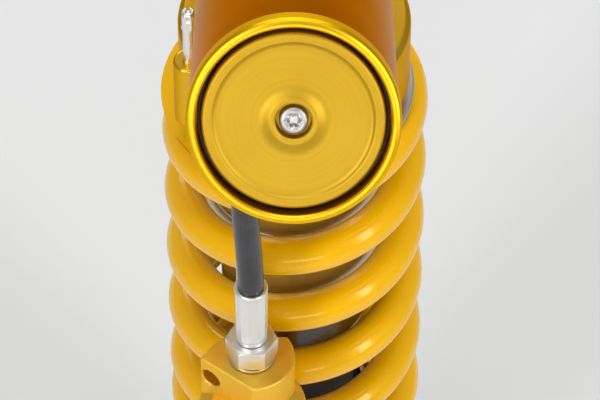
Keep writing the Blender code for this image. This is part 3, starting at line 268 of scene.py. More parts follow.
def anodised(name, color, deep, roughness, grain=0.00002, coarse=0.0):
    """Dyed, anodised aluminium: faint machining lines, cloudy dye and paler worn edges."""
    finish = Finish(name, color, roughness, 1.0, Specular_Tint=glance(color))
    cloud = finish.noise(55.0, 3.0)
    fine = finish.noise(1800.0, 2.0, 0.6)
    dyed = finish.tint(cloud.band(0.30, 0.75) * 0.45, deep)
    worn = finish.edges() * fine.band(0.42, 0.62)
    pale = tuple(min(1.0, 0.35 + 0.7 * value) for value in color)
    finish.set("Base Color", finish.blend(worn * 0.55, dyed, (*pale, 1.0)))
    finish.set("Roughness", cloud * 0.08 + fine * 0.10 + (roughness - 0.08))
    finish.bump(fine + finish.noise(420.0, 3.0) * coarse, grain, 0.6)
    return finish.material


def turned_gold(name, color, deep, roughness):
    """Gold anodising over fine lathe rings."""
    finish = Finish(name, color, roughness, 1.0, Specular_Tint=glance(color))
    rings = finish.rings(finish.radius() * 5200.0)
    broad = finish.rings(finish.radius() * 700.0, 1.0)
    cloud = finish.noise(40.0, 2.0)
    finish.set("Base Color", finish.tint((broad * 0.5 + cloud * 0.5).band(0.35, 0.7) * 0.5, deep))
    finish.set("Roughness", rings * 0.16 + cloud * 0.05 + (roughness - 0.10))
    finish.bump(rings + finish.noise(2400.0, 1.0) * 0.3, 0.000012, 0.6)
    return finish.material


def turned_bronze():
    """Bronze anodised barrel, with turning lines along its length and small scuffs."""
    finish = Finish("bronze_anodised", (0.62, 0.24, 0.012), 0.23, 1.0, Specular_Tint=(0.80, 0.42, 0.08, 1.0))
    _, _, along = finish.apart()
    lines = finish.rings(along * 3800.0)
    cloud = finish.noise(26.0, 3.0)
    scuff = finish.noise(150.0, 4.0, 0.7).band(0.66, 0.74)
    dyed = finish.tint(cloud.band(0.3, 0.7) * 0.45, (0.36, 0.10, 0.006))
    finish.set("Base Color", finish.blend(scuff * 0.22, dyed, (0.62, 0.30, 0.06, 1.0)))
    finish.set("Roughness", lines * 0.14 + scuff * 0.10 + 0.17)
    finish.bump(lines, 0.000012, 0.6)
    return finish.material


def bright_metal(name, color, roughness, deep, lines_along=True):
    """Plated or turned steel with fine lines and faint staining."""
    finish = Finish(name, color, roughness, 1.0)
    _, _, along = finish.apart()
    lines = finish.rings(along * 5200.0) if lines_along else finish.noise(1500.0, 2.0)
    cloud = finish.noise(130.0, 3.0)
    spots = finish.noise(420.0, 3.0, 0.7).band(0.62, 0.75)
    finish.set("Base Color", finish.tint((cloud * 0.5 + spots * 0.5).band(0.25, 0.8) * 0.55, deep))
    finish.set("Roughness", lines * 0.12 + cloud * 0.10 + (roughness - 0.08))
    finish.bump(lines + cloud * 0.4, 0.00001, 0.6)
    return finish.material


def coated_tube():
    """Dark glossy hard coat on the damper tube."""
    finish = Finish("dark_hard_coat", (0.055, 0.050, 0.050), 0.16, 1.0, Coat_Weight=0.3, Coat_Roughness=0.05)
    _, _, along = finish.apart()
    lines = finish.rings(along * 4200.0)
    cloud = finish.noise(60.0, 3.0)
    finish.set("Base Color", finish.tint(cloud.band(0.35, 0.7) * 0.6, (0.085, 0.072, 0.065)))
    finish.set("Roughness", lines * 0.10 + cloud * 0.06 + 0.08)
    finish.bump(lines, 0.000008, 0.5)
    return finish.material


def polymer(name, color, roughness, scale, depth):
    """Rubber, foam or a hose jacket: a fine skin with dusty, greyer patches."""
    finish = Finish(name, color, roughness, 0.0)
    skin = finish.noise(scale, 3.0, 0.6)
    cloud = finish.noise(80.0, 3.0)
    paler = tuple(value * 1.8 + 0.012 for value in color)
    finish.set("Base Color", finish.tint(cloud.band(0.4, 0.75) * 0.6, paler))
    finish.set("Roughness", skin * 0.14 + cloud * 0.10 + (roughness - 0.12))
    finish.bump(skin, depth, 0.6)
    return finish.material


def floor_paint():
    finish = Finish("pale_floor", (0.80, 0.80, 0.79), 0.55, 0.0)
    cloud = finish.noise(3.0, 3.0)
    finish.set("Base Color", finish.tint(cloud.band(0.3, 0.7) * 0.3, (0.76, 0.76, 0.75)))
    finish.set("Roughness", cloud * 0.1 + 0.5)
    return finish.material


# ---------------------------------------------------------------- shapes


def link(name, mesh):
    """Makes an object from a mesh, smooth but for its sharp edges."""
    bmesh.ops.recalc_face_normals(mesh, faces=mesh.faces)
    data = bpy.data.meshes.new(name)
    mesh.to_mesh(data)
    mesh.free()
    data.shade_smooth()
    data.set_sharp_from_angle(angle=math.radians(38))
    item = bpy.data.objects.new(name, data)
    bpy.context.scene.collection.objects.link(item)
    return item


def aim(item, origin, direction):
    """Puts the piece's own Z axis along a direction, at an origin."""
    item.rotation_mode = "QUATERNION"
    item.rotation_quaternion = Vector((0, 0, 1)).rotation_difference(Vector(direction))
    item.location = origin
    return item


def even_normals(item):
    """Keeps flat faces looking flat beside their fillets."""
    weighted = item.modifiers.new("even_normals", "WEIGHTED_NORMAL")
    weighted.keep_sharp = True
    return item


def rounded(outline, steps=4):
    """Outline points (radius, height, fillet) with each fillet drawn as a curve."""
    points = []
    count = len(outline)
    for index, corner in enumerate(outline):
        here = Vector(corner[:2])
        size = corner[2] if len(corner) > 2 else 0.0
        if size == 0.0:
            points.append(here)
            continue
        before = Vector(outline[index - 1][:2]) - here
        after = Vector(outline[(index + 1) % count][:2]) - here
        start = here + before.normalized() * min(size, before.length * 0.48)
        end = here + after.normalized() * min(size, after.length * 0.48)
        for step in range(steps + 1):
            part = step / steps
            points.append(start * (1 - part) ** 2 + here * 2 * part * (1 - part) + end * part**2)
    return points


def turned(name, outline, origin=(0, 0, 0), direction=(0, 0, 1), steps=TURN_STEPS, shape=None):
    """A closed outline turned about the local Z. shape(angle, radius, height) may alter each radius."""
    mesh = bmesh.new()
    points = rounded(outline)
    rows = []
    for point in points:
        if point.x < 1e-7:
            rows.append([mesh.verts.new((0, 0, point.y))])
            continue
        row = []
        for step in range(steps):
            angle = math.tau * step / steps
            radius = shape(angle, point.x, point.y) if shape else point.x
            row.append(mesh.verts.new((radius * math.cos(angle), radius * math.sin(angle), point.y)))
        rows.append(row)
    for row, following in zip(rows, rows[1:] + rows[:1]):
        if len(row) == 1 and len(following) == 1:
            continue
        for step in range(steps):
            after = (step + 1) % steps
            if len(row) == 1:
                mesh.faces.new((row[0], following[step], following[after]))
            elif len(following) == 1:
                mesh.faces.new((row[step], row[after], following[0]))
            else:
                mesh.faces.new((row[step], row[after], following[after], following[step]))
    return even_normals(aim(link(name, mesh), origin, direction))


def on_cap(name, outline):
    """Turned about the reservoir's axis, from the cap's face."""
    return turned(name, outline, CAP, CAP_AXIS)


def rod(name, radius, low, high, origin=(0, 0, 0), direction=(0, 0, 1), fillet=0.0003, steps=FINE_STEPS):
    outline = [(0, low), (radius, low, fillet), (radius, high, fillet), (0, high)]
    return turned(name, outline, origin, direction, steps)


def ring(
    name, bore, radius, low, high, origin=(0, 0, 0), direction=(0, 0, 1), fillet=0.0003, steps=FINE_STEPS
):
    """A washer, sleeve or clip, from its bore and its outside."""
    corners = [(bore, low, fillet), (radius, low, fillet), (radius, high, fillet), (bore, high, fillet)]
    return turned(name, corners, origin, direction, steps)


def prism(name, outline, low, high, origin=(0, 0, 0), direction=(0, 0, 1)):
    """A flat outline raised between two heights."""
    mesh = bmesh.new()
    face = mesh.faces.new([mesh.verts.new((x, y, low)) for x, y in outline])
    made = bmesh.ops.extrude_face_region(mesh, geom=[face])
    raised = [part for part in made["geom"] if isinstance(part, bmesh.types.BMVert)]
    bmesh.ops.translate(mesh, verts=raised, vec=(0, 0, high - low))
    return aim(link(name, mesh), origin, direction)


def side_plate(name, outline, half_width):
    """A plate across X, from its outline of (y, z) points."""
    mesh = bmesh.new()
    face = mesh.faces.new([mesh.verts.new((-half_width, y, z)) for y, z in outline])
    made = bmesh.ops.extrude_face_region(mesh, geom=[face])
    raised = [part for part in made["geom"] if isinstance(part, bmesh.types.BMVert)]
    bmesh.ops.translate(mesh, verts=raised, vec=(2 * half_width, 0, 0))
    return link(name, mesh)


def box_shape(name, low, high):
    outline = [(low[0], low[1]), (high[0], low[1]), (high[0], high[1]), (low[0], high[1])]
    return prism(name, outline, low[2], high[2])


def hexagon(flats):
    """Corners of a hexagon, from its size across flats."""
    corner = flats / 2 / math.cos(math.pi / 6)
    angles = [math.tau * side / 6 for side in range(6)]
    return [(corner * math.cos(angle), corner * math.sin(angle)) for angle in angles]


def sweep(start, end, count):
    """Evenly spaced values, both ends among them."""
    return [start + (end - start) * index / count for index in range(count + 1)]


def layered(radius, low, high, count):
    """Points up a straight side, so that a shape function can work on it."""
    return [(radius, height) for height in sweep(low, high, count)]


def skin(mesh, loops):
    """Faces between loops of the same length, closed at both ends."""
    for loop, following in zip(loops, loops[1:]):
        for index, corner in enumerate(loop):
            after = (index + 1) % len(loop)
            mesh.faces.new((corner, loop[after], following[after], following[index]))
    mesh.faces.new(loops[0])
    mesh.faces.new(loops[-1])


def bevelled(item, width, segments=3, angle=35):
    """Rounds the edges sharper than an angle."""
    modifier = item.modifiers.new("edges", "BEVEL")
    modifier.width = width
    modifier.segments = segments
    modifier.limit_method = "ANGLE"
    modifier.angle_limit = math.radians(angle)
    modifier.harden_normals = True
    return item


def combine(target, operation, tools):
    """Applies Booleans one after the other and removes the tools."""
    for tool in tools:
        modifier = target.modifiers.new("shape", "BOOLEAN")
        modifier.operation = operation
        modifier.solver = "EXACT"
        modifier.object = tool
        bake(target)
        bpy.data.objects.remove(tool)
    return target


def bake(item):
    """Puts the modifiers' result into the mesh."""
    bpy.context.view_layer.update()
    graph = bpy.context.evaluated_depsgraph_get()
    data = bpy.data.meshes.new_from_object(item.evaluated_get(graph))
    item.modifiers.clear()
    old = item.data
    item.data = data
    bpy.data.meshes.remove(old)


def cast_shape(item, voxel, rounds):
    """Melts a joined body into one skin with small, even fillets."""
    remesh = item.modifiers.new("skin", "REMESH")
    remesh.mode = "VOXEL"
    remesh.voxel_size = voxel
    smooth = item.modifiers.new("fillets", "SMOOTH")
    smooth.factor = 0.5
    smooth.iterations = rounds
    bake(item)
    item.data.shade_smooth()
    return item


def settle(item, material, body, slot, *nodes):
    """Gives a piece its finish and the body it rides on, and hides the nodes it stands for. The slot argument
    is not used.
    """
    item.data.materials.clear()
    item.data.materials.append(material)
    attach(item, body)
    if nodes:
        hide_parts(*nodes)
    return item


# ---------------------------------------------------------------- head end


def head_casting(gold):
    """Forged head: disc and neck, the eye, the reservoir's flange with its saddle, and the bosses."""
    disc = [
        (0, -0.0520), (0.0343, -0.0520), (0.0343, -0.0295, 0.0002), (0.0328, -0.0280, 0.0002),
        (0, -0.0280),
    ]
    head = turned("head", disc)
    step = [(0, -0.0285), (0.0270, -0.0285), (0.0270, -0.0155, 0.0010)]
    step += [(0.0255, -0.0140, 0.0010), (0, -0.0140)]
    neck = turned("neck", step)
    eye = rod("eye", 0.0160, -0.0110, 0.0110, direction=(1, 0, 0), fillet=0.0008)
    web = box_shape("web", (-0.0105, -0.0153, -0.0170), (0.0105, 0.0153, 0.0))
    flange = on_cap("flange", [(0, 0.1060), (0.0265, 0.1123), (0.0265, 0.1200, 0.0010), (0, 0.1200)])
    low = CAP + 0.1194 * CAP_AXIS - 0.0245 * CAP_UP
    high = CAP + 0.1186 * CAP_AXIS + 0.0010 * CAP_UP
    crest = CAP + 0.1180 * CAP_AXIS + 0.0200 * CAP_UP
    side = [(low.y, low.z), (-0.0300, -0.0290), (0.0135, -0.0290), (0.0135, -0.0195), (-0.0100, -0.0195)]
    side += [(-0.0190, -0.0060), (high.y, high.z)]
    saddle = side_plate("saddle", side, 0.0200)
    spine = [(high.y, high.z - 0.003), (crest.y, crest.z), (-0.0030, 0.0145), (-0.0030, 0.0010)]
    rib = side_plate("rib", spine, 0.0090)
    valve = rod("valve_boss", 0.0048, -0.0520, -0.0270, VALVE, fillet=0.0005)
    banjo = rod("banjo_boss", 0.0065, 0, 0.0234, (-0.0144, -0.0250, -0.0220), (0, -1, 0))
    foot = box_shape("bracket_boss", (-0.0199, -0.0430, -0.0505), (-0.0089, -0.0250, -0.0365))
    combine(head, "UNION", [neck, eye, web, flange, saddle, rib, valve, banjo, foot])
    cast_shape(head, 0.00045, 3)
    spigot = on_cap("spigot", [(0, 0.1035), (0.0245, 0.1035), (0.0245, 0.1140), (0, 0.1140)])
    combine(head, "UNION", [spigot])
    cutters = [
        rod("preload_bore", 0.0303, -0.0600, -0.0340, fillet=0),
        rod("tube_socket", 0.0233, -0.0600, -0.0200, fillet=0),
        turned("eye_bore", EYE_BORE, direction=(1, 0, 0)),
        rod("valve_bore", 0.00205, -0.0450, -0.0100, VALVE, fillet=0),
        rod("banjo_thread", 0.0033, 0.0370, 0.0600, (-0.0144, 0, -0.0220), (0, -1, 0), fillet=0),
        rod("foot_thread", 0.0019, 0.0350, 0.0600, (-0.0144, 0, -0.0435), (0, -1, 0), fillet=0),
        rod("lower_face", 0.0360, -0.0600, -0.0524, fillet=0),
    ]
    combine(head, "DIFFERENCE", cutters)
    head.data.shade_smooth()
    head.data.set_sharp_from_angle(angle=math.radians(38))
    settle(head, gold, "head", "gold", "head_casting")


def bearing(steel, dark_steel):
    """Race and its two clips, the ball and its two spacers."""
    across = (1, 0, 0)
    cup = [(0.0098 * math.cos(angle), 0.0098 * math.sin(angle)) for angle in sweep(0.659, -0.659, 24)]
    cup += [(0.0120, -0.0060, 0.0005), (0.0120, 0.0060, 0.0005)]
    race = turned("bearing_race", cup, direction=across)
    settle(race, dark_steel, "head", "steel", "bearing_race")
    for side, word in ((-1, "left"), (1, "right")):
        low, high = sorted((side * 0.0063, side * 0.0073))
        clip = ring(f"bearing_clip_{word}", 0.0098, 0.0120, low, high, direction=across, fillet=0.0002)
        gap = box_shape(f"clip_gap_{word}", (low - 0.001, -0.0012, -0.0140), (high + 0.001, 0.0012, -0.0085))
        combine(clip, "DIFFERENCE", [gap])
        settle(clip, dark_steel, "head", "steel", f"bearing_circlip_{word}")
    crown = [(0.0095 * math.cos(angle), 0.0095 * math.sin(angle)) for angle in sweep(-0.910, 0.910, 40)]
    crown += [(0.0051, 0.0075, 0.0004), (0.0051, -0.0075, 0.0004)]
    ball = turned("bearing_ball", crown, direction=across)
    settle(ball, steel, "upper_bearing", "steel", "bearing_ball")
    for side, word in ((-1, "left"), (1, "right")):
        outline = [(0.0051, 0.0078, 0.0002), (0.0058, 0.0078), (0.0068, 0.0095, 0.0002)]
        outline += [(0.0078, 0.0095, 0.0003), (0.0078, 0.0140, 0.0005), (0.0051, 0.0140, 0.0005)]
        spacer = turned(f"spacer_{word}", outline, direction=(side, 0, 0))
        settle(spacer, steel, "upper_bearing", "steel", f"ball_spacer_{word}")


def compression_adjuster(steel):
    """Stem with a square, slotted head."""

    def square(angle, radius, height):
        within = (angle + math.pi / 4) % (math.pi / 2) - math.pi / 4
        return min(radius, 0.00185 / math.cos(within)) if height > -0.0124 else radius

    outline = [
        (0, -0.0445), (0.00175, -0.0445), (0.00175, -0.0295), (0.0020, -0.0290, 0.0002),
        (0.0020, -0.0262),
    ]
    outline += [(0.00175, -0.0256), (0.00175, -0.0130), (0.0021, -0.0130, 0.0002), (0.0021, -0.0122, 0.0001)]
    outline += [(0.0021, -0.0118), (0.0021, -0.0068, 0.0002), (0.0015, -0.0060, 0.0002), (0, -0.0060)]
    stem = turned("compression_adjuster_stem", outline, VALVE, steps=120, shape=square)
    slot = box_shape("slot", (-0.0310, -0.0300, -0.0076), (-0.0300, -0.0060, 0.0050))
    combine(stem, "DIFFERENCE", [slot])
    settle(stem, steel, "compression_adjuster", "steel", "compression_adjuster")


# ---------------------------------------------------------------- reservoir


def reservoir(gold, cap_gold, bronze, steel, dark_steel):
    barrel = [
        (0.0248, 0.1120), (0.0248, 0.0060), (0.0275, 0.0060, 0.0002), (0.0275, 0.1110, 0.0006),
        (0.0265, 0.1120),
    ]
    settle(on_cap("barrel", barrel), bronze, "head", "bronze", "reservoir_barrel")
    rim = [
        (0.02535, 0.0057), (0.02535, -0.0006, 0.0003), (0.0259, -0.0012, 0.0002),
        (0.0267, -0.0012, 0.0003),
    ]
    rim += [
        (0.0277, -0.0007, 0.0004), (0.0280, 0.0004, 0.0006), (0.0280, 0.0052, 0.0003),
        (0.0276, 0.0057, 0.0002),
    ]
    settle(on_cap("rim", rim), gold, "head", "gold", "reservoir_rim")
    cap = [(0.0022, 0.0032), (0.0047, 0.0032, 0.0002), (0.0047, 0.0002, 0.0002), (0.0052, -0.0002, 0.0002)]
    cap += [
        (0.0063, -0.0002, 0.0004), (0.0087, 0.0011, 0.0012), (0.0204, 0.0011, 0.0006),
        (0.0213, 0.0003, 0.0003),
    ]
    cap += [
        (0.0233, 0.0003, 0.0003), (0.0239, 0.0009, 0.0003), (0.0239, 0.0064), (0.0245, 0.0064),
        (0.0245, 0.0100),
    ]
    cap += [(0.0231, 0.0100), (0.0231, 0.0124), (0.0245, 0.0124), (0.0245, 0.0160), (0.0022, 0.0160)]
    settle(on_cap("cap", cap), cap_gold, "head", "satin_gold", "reservoir_cap")
    clip = [(0.0241, 0.0036, 0.0003), (0.02515, 0.0036, 0.0003), (0.02515, 0.0047), (0.0241, 0.0047)]
    clip = on_cap("cap_clip", clip)
    settle(clip, dark_steel, "head", "steel", "cap_circlip")

    screw = [(0, 0.0003), (0.0031, 0.0004, 0.0004), (0.0038, 0.0010, 0.0004), (0.0038, 0.0029)]
    screw += [(0.0019, 0.0029), (0.0019, 0.0140), (0, 0.0140)]
    head = on_cap("cap_screw_head", screw)
    lobes = []
    for step in range(72):
        angle = math.tau * step / 72
        reach = 0.00150 + 0.00032 * math.cos(6 * angle)
        lobes.append((reach * math.cos(angle), reach * math.sin(angle)))
    socket = prism("six_lobe_socket", lobes, -0.0050, 0.0018, CAP, CAP_AXIS)
    combine(head, "DIFFERENCE", [socket])
    settle(head, steel, "head", "steel", "cap_screw")


# ---------------------------------------------------------------- hose and its fittings


def hex_shape(flats):
    """A turned section that grows past the flats is held in by the hexagon."""

    def shape(angle, radius, _):
        within = (angle + math.pi / 6) % (math.pi / 3) - math.pi / 6
        side = flats / 2 / math.cos(within - math.copysign(math.pi / 6, within))
        return min(radius, side) if radius > flats * 0.45 else radius

    return shape


def hex_outline(flats, low, high, bore=0.0):
    """Nut with its corners chamfered at both ends."""
    corner = flats / math.sqrt(3)
    chamfer = corner - flats / 2 * 0.97
    start = [(bore, low), (flats / 2 * 0.95, low)]
    inner = flats / 2 * 0.97
    parts = (0, 0.25, 0.5, 0.75, 1)
    rise = [(inner + chamfer * part, low + chamfer * 0.45 * part) for part in parts]
    fall = [(inner + chamfer * part, high - chamfer * 0.45 * part) for part in parts[::-1]]
    return start + rise + fall + [(flats / 2 * 0.95, high), (bore, high)]


def crimped(depth, low, high, count=8):
    """Presses flats into a sleeve between two heights."""

    def shape(angle, radius, height):
        if radius < 0.0042 or not low < height < high:
            return radius
        within = (angle * count / math.tau) % 1.0 - 0.5
        fade = min(1.0, (height - low) / 0.0015, (high - height) / 0.0015)
        flat = radius * math.cos(math.pi / count) / math.cos(within * math.tau / count)
        dent = max(0.0, radius - flat) * 0.9 + depth * (1.0 - abs(2 * within) ** 6)
        return radius - dent * fade

    return shape


def hose_run(bright, plated, jacket, copper, steel):
    x, y = HOSE_TOP
    toward = (0, -1, 0)
    banjo = (x, y, BANJO_HEIGHT)
    fitting = ring("banjo_ring", 0.0033, 0.0065, -0.0040, 0.0040, banjo, toward, 0.0007, TURN_STEPS)
    neck = [
        (0, -0.0297), (0.0034, -0.0297), (0.0032, -0.0285, 0.0005), (0.0028, -0.0280),
        (0.0034, -0.0262), (0, -0.0262),
    ]
    combine(fitting, "UNION", [turned("banjo_neck", neck, (x, y, 0))])
    settle(fitting, bright, "head", "steel", "banjo_fitting")
    for word, place in (("inner", -0.0053), ("outer", 0.0043)):
        washer = ring(f"crush_{word}", 0.0033, 0.0061, place, place + 0.0010, banjo, toward, 0.0002)
        settle(washer, copper, "head", "copper", f"banjo_washer_{word}")
    head = hex_outline(BOLT_FLATS, 0.0059, 0.0101)
    bolt = [(0, -0.0154), (0.0026, -0.0154, 0.0003), (0.0030, -0.0150), (0.0030, 0.0056), (0.0048, 0.0056)]
    bolt += head[1:-1] + [(0.0040, 0.0098, 0.0002), (0, 0.0098)]
    bolt = turned("banjo_bolt_head", bolt, banjo, toward, shape=hex_shape(BOLT_FLATS))
    settle(bolt, steel, "head", "steel", "banjo_bolt")

    top = [(0, -0.0450), (0.0042, -0.0450, 0.0003), (0.0050, -0.0444, 0.0003)]
    top += layered(0.0051, -0.0438, -0.0312, 18)
    top += [(0.0046, -0.0303, 0.0004), (0.0041, -0.0300), (0, -0.0300)]
    sleeve = turned("ferrule_top", top, (x, y, 0), shape=crimped(0.00008, -0.0440, -0.0320, 11))
    settle(sleeve, bright, "head", "steel", "upper_ferrule")
    x_low = UNION[0]
    low = [(0, -0.1118), (0.0047, -0.1118, 0.0002), (0.0047, -0.1106, 0.0002), (0.0045, -0.1102)]
    low += [(0.0047 + 0.0003 * part, -0.1098 + 0.0206 * part) for part in sweep(0.0, 1.0, 30)]
    low += [
        (0.0051, -0.0886), (0.0051, -0.0880, 0.0003), (0.0047, -0.0876, 0.0003), (0.0041, -0.0876),
        (0, -0.0878),
    ]
    sleeve = turned("ferrule_low", low, (x_low, y, 0), shape=crimped(0.00008, -0.1100, -0.0888, 11))
    settle(sleeve, bright, "head", "steel", "lower_ferrule")

    mesh = bmesh.new()
    loops = []
    for part in sweep(0.0, 1.0, 60):
        lean = 0.0015 * (3 - 2 * part) * part * part
        height = -0.0453 - part * 0.0420
        loop = []
        for step in range(FINE_STEPS):
            angle = math.tau * step / FINE_STEPS
            place = (x + lean + 0.00395 * math.cos(angle), y + 0.00395 * math.sin(angle), height)
            loop.append(mesh.verts.new(place))
        loops.append(loop)
    skin(mesh, loops)
    settle(link("hose_jacket", mesh), jacket, "head", "hose_jacket", "hose")

    nut = hex_outline(UNION_FLATS, -0.1198, -0.1121)
    nut = [(0, -0.1314), (0.0036, -0.1314, 0.0003), (0.0040, -0.1308), (0.0040, -0.1198)] + nut[1:]
    union = turned("union_nut", nut, (*UNION, 0), steps=144, shape=hex_shape(UNION_FLATS))
    settle(union, bright, "head", "steel", "hose_union")
    washer = ring("union_seal", 0.0043, 0.00715, -0.1211, -0.1201, (*UNION, 0), steps=TURN_STEPS)
    settle(washer, plated, "head", "steel", "union_washer")


# ---------------------------------------------------------------- preload adjuster


def body_plan():
    """Outline of the adjuster body's upper part: round about the union, with an ear on its front left."""
    face = Vector((-0.6, -0.8))
    corner = Vector((UNION[0] - 0.0158, UNION[1] - 0.0010))
    outline = [corner, corner - 0.0075 * face, Vector((UNION[0] - 0.0084, -0.0466))]
    radius = 0.0130
    start = math.asin((-0.0466 - UNION[1]) / radius)
    end = math.atan2(face.y, face.x) + math.acos((corner - Vector(UNION)).dot(face) / radius)
    for angle in sweep(start, end, 40):
        outline.append(Vector((UNION[0] + radius * math.cos(angle), UNION[1] + radius * math.sin(angle))))
    return [tuple(point) for point in outline[::-1]], corner, face


def adjuster(gold, black, plated, dark_steel):
    outline, corner, face = body_plan()
    body = bevelled(prism("adjuster_top", outline, -0.1384, -0.1214), 0.0017, 5, 25)
    bake(body)
    shell = [(0, -0.1984), (0.0155, -0.1984, 0.0003), (0.0165, -0.1974, 0.0006), (0.0165, -0.1394, 0.0010)]
    shell += [(0.0125, -0.1354, 0.0010), (0, -0.1354)]
    combine(body, "UNION", [turned("housing", shell, HOUSING)])
    ear = Vector((*(corner + 0.0040 * Vector((-face.y, face.x))), -0.1286))
    toward = (*face, 0)
    drill = [(0, -0.0250), (0.0032, -0.0250), (0.0032, -0.0006), (0.0038, 0), (0.0090, 0.0060), (0, 0.0060)]
    port = [(0, -0.1440), (0.0043, -0.1440), (0.0043, -0.1218), (0.0049, -0.1205), (0, -0.1205)]
    cutters = [
        turned("ear_hole", drill, ear, toward, 96),
        rod("housing_bore", 0.0110, -0.2100, -0.1429, HOUSING, fillet=0),
        rod("gland_bore", 0.0130, -0.2100, -0.1934, HOUSING, fillet=0),
        turned("oil_port", port, (*UNION, 0), steps=96),
        rod("strap_thread", 0.0019, -0.0494, -0.0350, (-0.0144, 0, -0.1284), (0, 1, 0), fillet=0),
    ]
    combine(body, "DIFFERENCE", cutters)
    body.data.shade_smooth()
    body.data.set_sharp_from_angle(angle=math.radians(30))
    settle(even_normals(body), gold, "head", "gold", "adjuster_body")

    gland = [(0.0043, -0.1984, 0.0003), (0.0127, -0.1984, 0.0004), (0.0127, -0.1937), (0.0043, -0.1937)]
    settle(turned("gland", gland, HOUSING), plated, "head", "steel", "adjuster_gland")

    def flutes(angle, radius, _):
        depth = min(1.0, max(0.0, (radius - 0.0130) / 0.0025))
        groove = 0.5 - 0.5 * math.cos(12 * angle)
        return radius - 0.0009 * groove * depth

    knob = [
        (0, -0.2109), (0.0062, -0.2109), (0.0062, -0.2138, 0.0003), (0.0068, -0.2144, 0.0003),
        (0.0148, -0.2144, 0.0004),
    ]
    knob += [(0.0160, -0.2130, 0.0006)] + layered(0.0160, -0.2120, -0.2016, 6) + [(0.0160, -0.2008, 0.0005)]
    knob += [(0.0150, -0.1994, 0.0005), (0.0045, -0.1994), (0.0043, -0.1997), (0.0043, -0.2059), (0, -0.2059)]
    grip = turned("preload_grip", knob, HOUSING, steps=192, shape=flutes)
    settle(grip, black, "preload_knob", "black", "preload_knob")
    screw = [
        (0, -0.2142), (0.0040, -0.2142, 0.0003), (0.0045, -0.2137, 0.0002), (0.0045, -0.2112),
        (0, -0.2112),
    ]
    screw = turned("grip_screw", screw, HOUSING)
    key = prism("grip_socket", hexagon(0.0040), -0.2160, -0.2126, HOUSING)
    combine(screw, "DIFFERENCE", [key])
    settle(screw, dark_steel, "preload_knob", "steel", "knob_screw")
    spindle = [
        (0, -0.2054), (0.0037, -0.2054), (0.0040, -0.2051), (0.0040, -0.1677), (0.0037, -0.1674),
        (0, -0.1674),
    ]
    settle(turned("spindle", spindle, HOUSING), plated, "preload_knob", "steel", "adjuster_spindle")


def bracket(black_steel, dark_steel):
    strap = box_shape("strap", (-0.0174, -0.0463, -0.1324), (-0.0114, -0.0433, -0.0375))
    bevelled(strap, 0.0007, 3)
    bake(strap)
    holes = [
        rod(f"strap_hole_{word}", 0.0019, -0.0600, -0.0300, (-0.0144, 0, height), (0, 1, 0), fillet=0)
        for word, height in (("top", -0.0435), ("bottom", -0.1284))
    ]
    combine(strap, "DIFFERENCE", holes)
    strap.data.shade_smooth()
    strap.data.set_sharp_from_angle(angle=math.radians(35))
    settle(even_normals(strap), black_steel, "head", "steel", "bracket")
    for word, height, seat, length, toward in (
        ("top", -0.0435, 0.0466, 0.0105, (0, -1, 0)),
        ("bottom", -0.1284, -0.0430, 0.0060, (0, 1, 0)),
    ):
        rise = 0.0020 if word == "top" else 0.0016
        shape = [
            (0, seat - length), (0.0014, seat - length), (0.0016, seat - length + 0.0003),
            (0.0016, seat),
        ]
        shape += [(0.0026, seat, 0.0002), (0.0026, seat + rise * 0.6, 0.0003), (0.0018, seat + rise, 0.0006)]
        shape += [(0.0012, seat + rise), (0.0012, seat + 0.0006), (0, seat + 0.0004)]
        screw = turned(f"strap_screw_{word}", shape, (-0.0144, 0, height), toward)
        settle(screw, dark_steel, "head", "steel", f"bracket_screw_{word}")


# ---------------------------------------------------------------- damper


def damper(silver, dark_tube, chrome, rubber):
    """Tube, seal head, wiper, shaft and the spring's upper seat."""
    tube = [
        (0.0200, -0.0203), (0.0200, -0.1590), (0.0221, -0.1590, 0.0003), (0.0230, -0.1581, 0.0003),
        (0.0230, -0.0203),
    ]
    settle(turned("tube", tube), dark_tube, "head", "dark_tube", "damper_tube")
    head = [(0.0083, -0.1585), (0.0113, -0.1585), (0.0113, -0.1628, 0.0002), (0.0117, -0.1630, 0.0002)]
    head += [(0.0213, -0.1630, 0.0003), (0.0220, -0.1622, 0.0003), (0.0220, -0.1593), (0.0197, -0.1593)]
    head += [(0.0197, -0.1403), (0.0083, -0.1403)]
    settle(turned("seal_carrier", head), silver, "head", "silver", "seal_head")
    wiper = [
        (0.0083, -0.1588), (0.0083, -0.1642, 0.0003), (0.0095, -0.1642, 0.0004),
        (0.0110, -0.1626, 0.0003), (0.0110, -0.1588),
    ]
    settle(turned("wiper", wiper), rubber, "head", "rubber", "shaft_wiper")
    shaft = [
        (0.0025, -0.2341), (0.0080, -0.2341), (0.0080, -0.1202, 0.0003), (0.0050, -0.1200),
        (0.0050, -0.0895), (0.0025, -0.0895),
    ]
    settle(turned("shaft_rod", shaft), chrome, "shaft", "chrome", "damper_shaft")

    seat = [(0.0235, -0.0570), (0.0235, -0.1270), (0.0255, -0.1270, 0.0002), (0.0270, -0.1255, 0.0003)]
    seat += [(0.0270, -0.0992, 0.0002), (0.0265, -0.0987), (0.0265, -0.0973), (0.0270, -0.0968, 0.0002)]
    seat += [
        (0.0270, -0.0606, 0.0006), (0.0276, -0.0600, 0.0002), (0.0353, -0.0600, 0.0003),
        (0.0358, -0.0595, 0.0003),
    ]
    seat += [(0.0358, -0.0575, 0.0003), (0.0353, -0.0570, 0.0003)]
    settle(turned("seat_sleeve", seat), silver, "preload_seat", "silver", "upper_spring_seat")


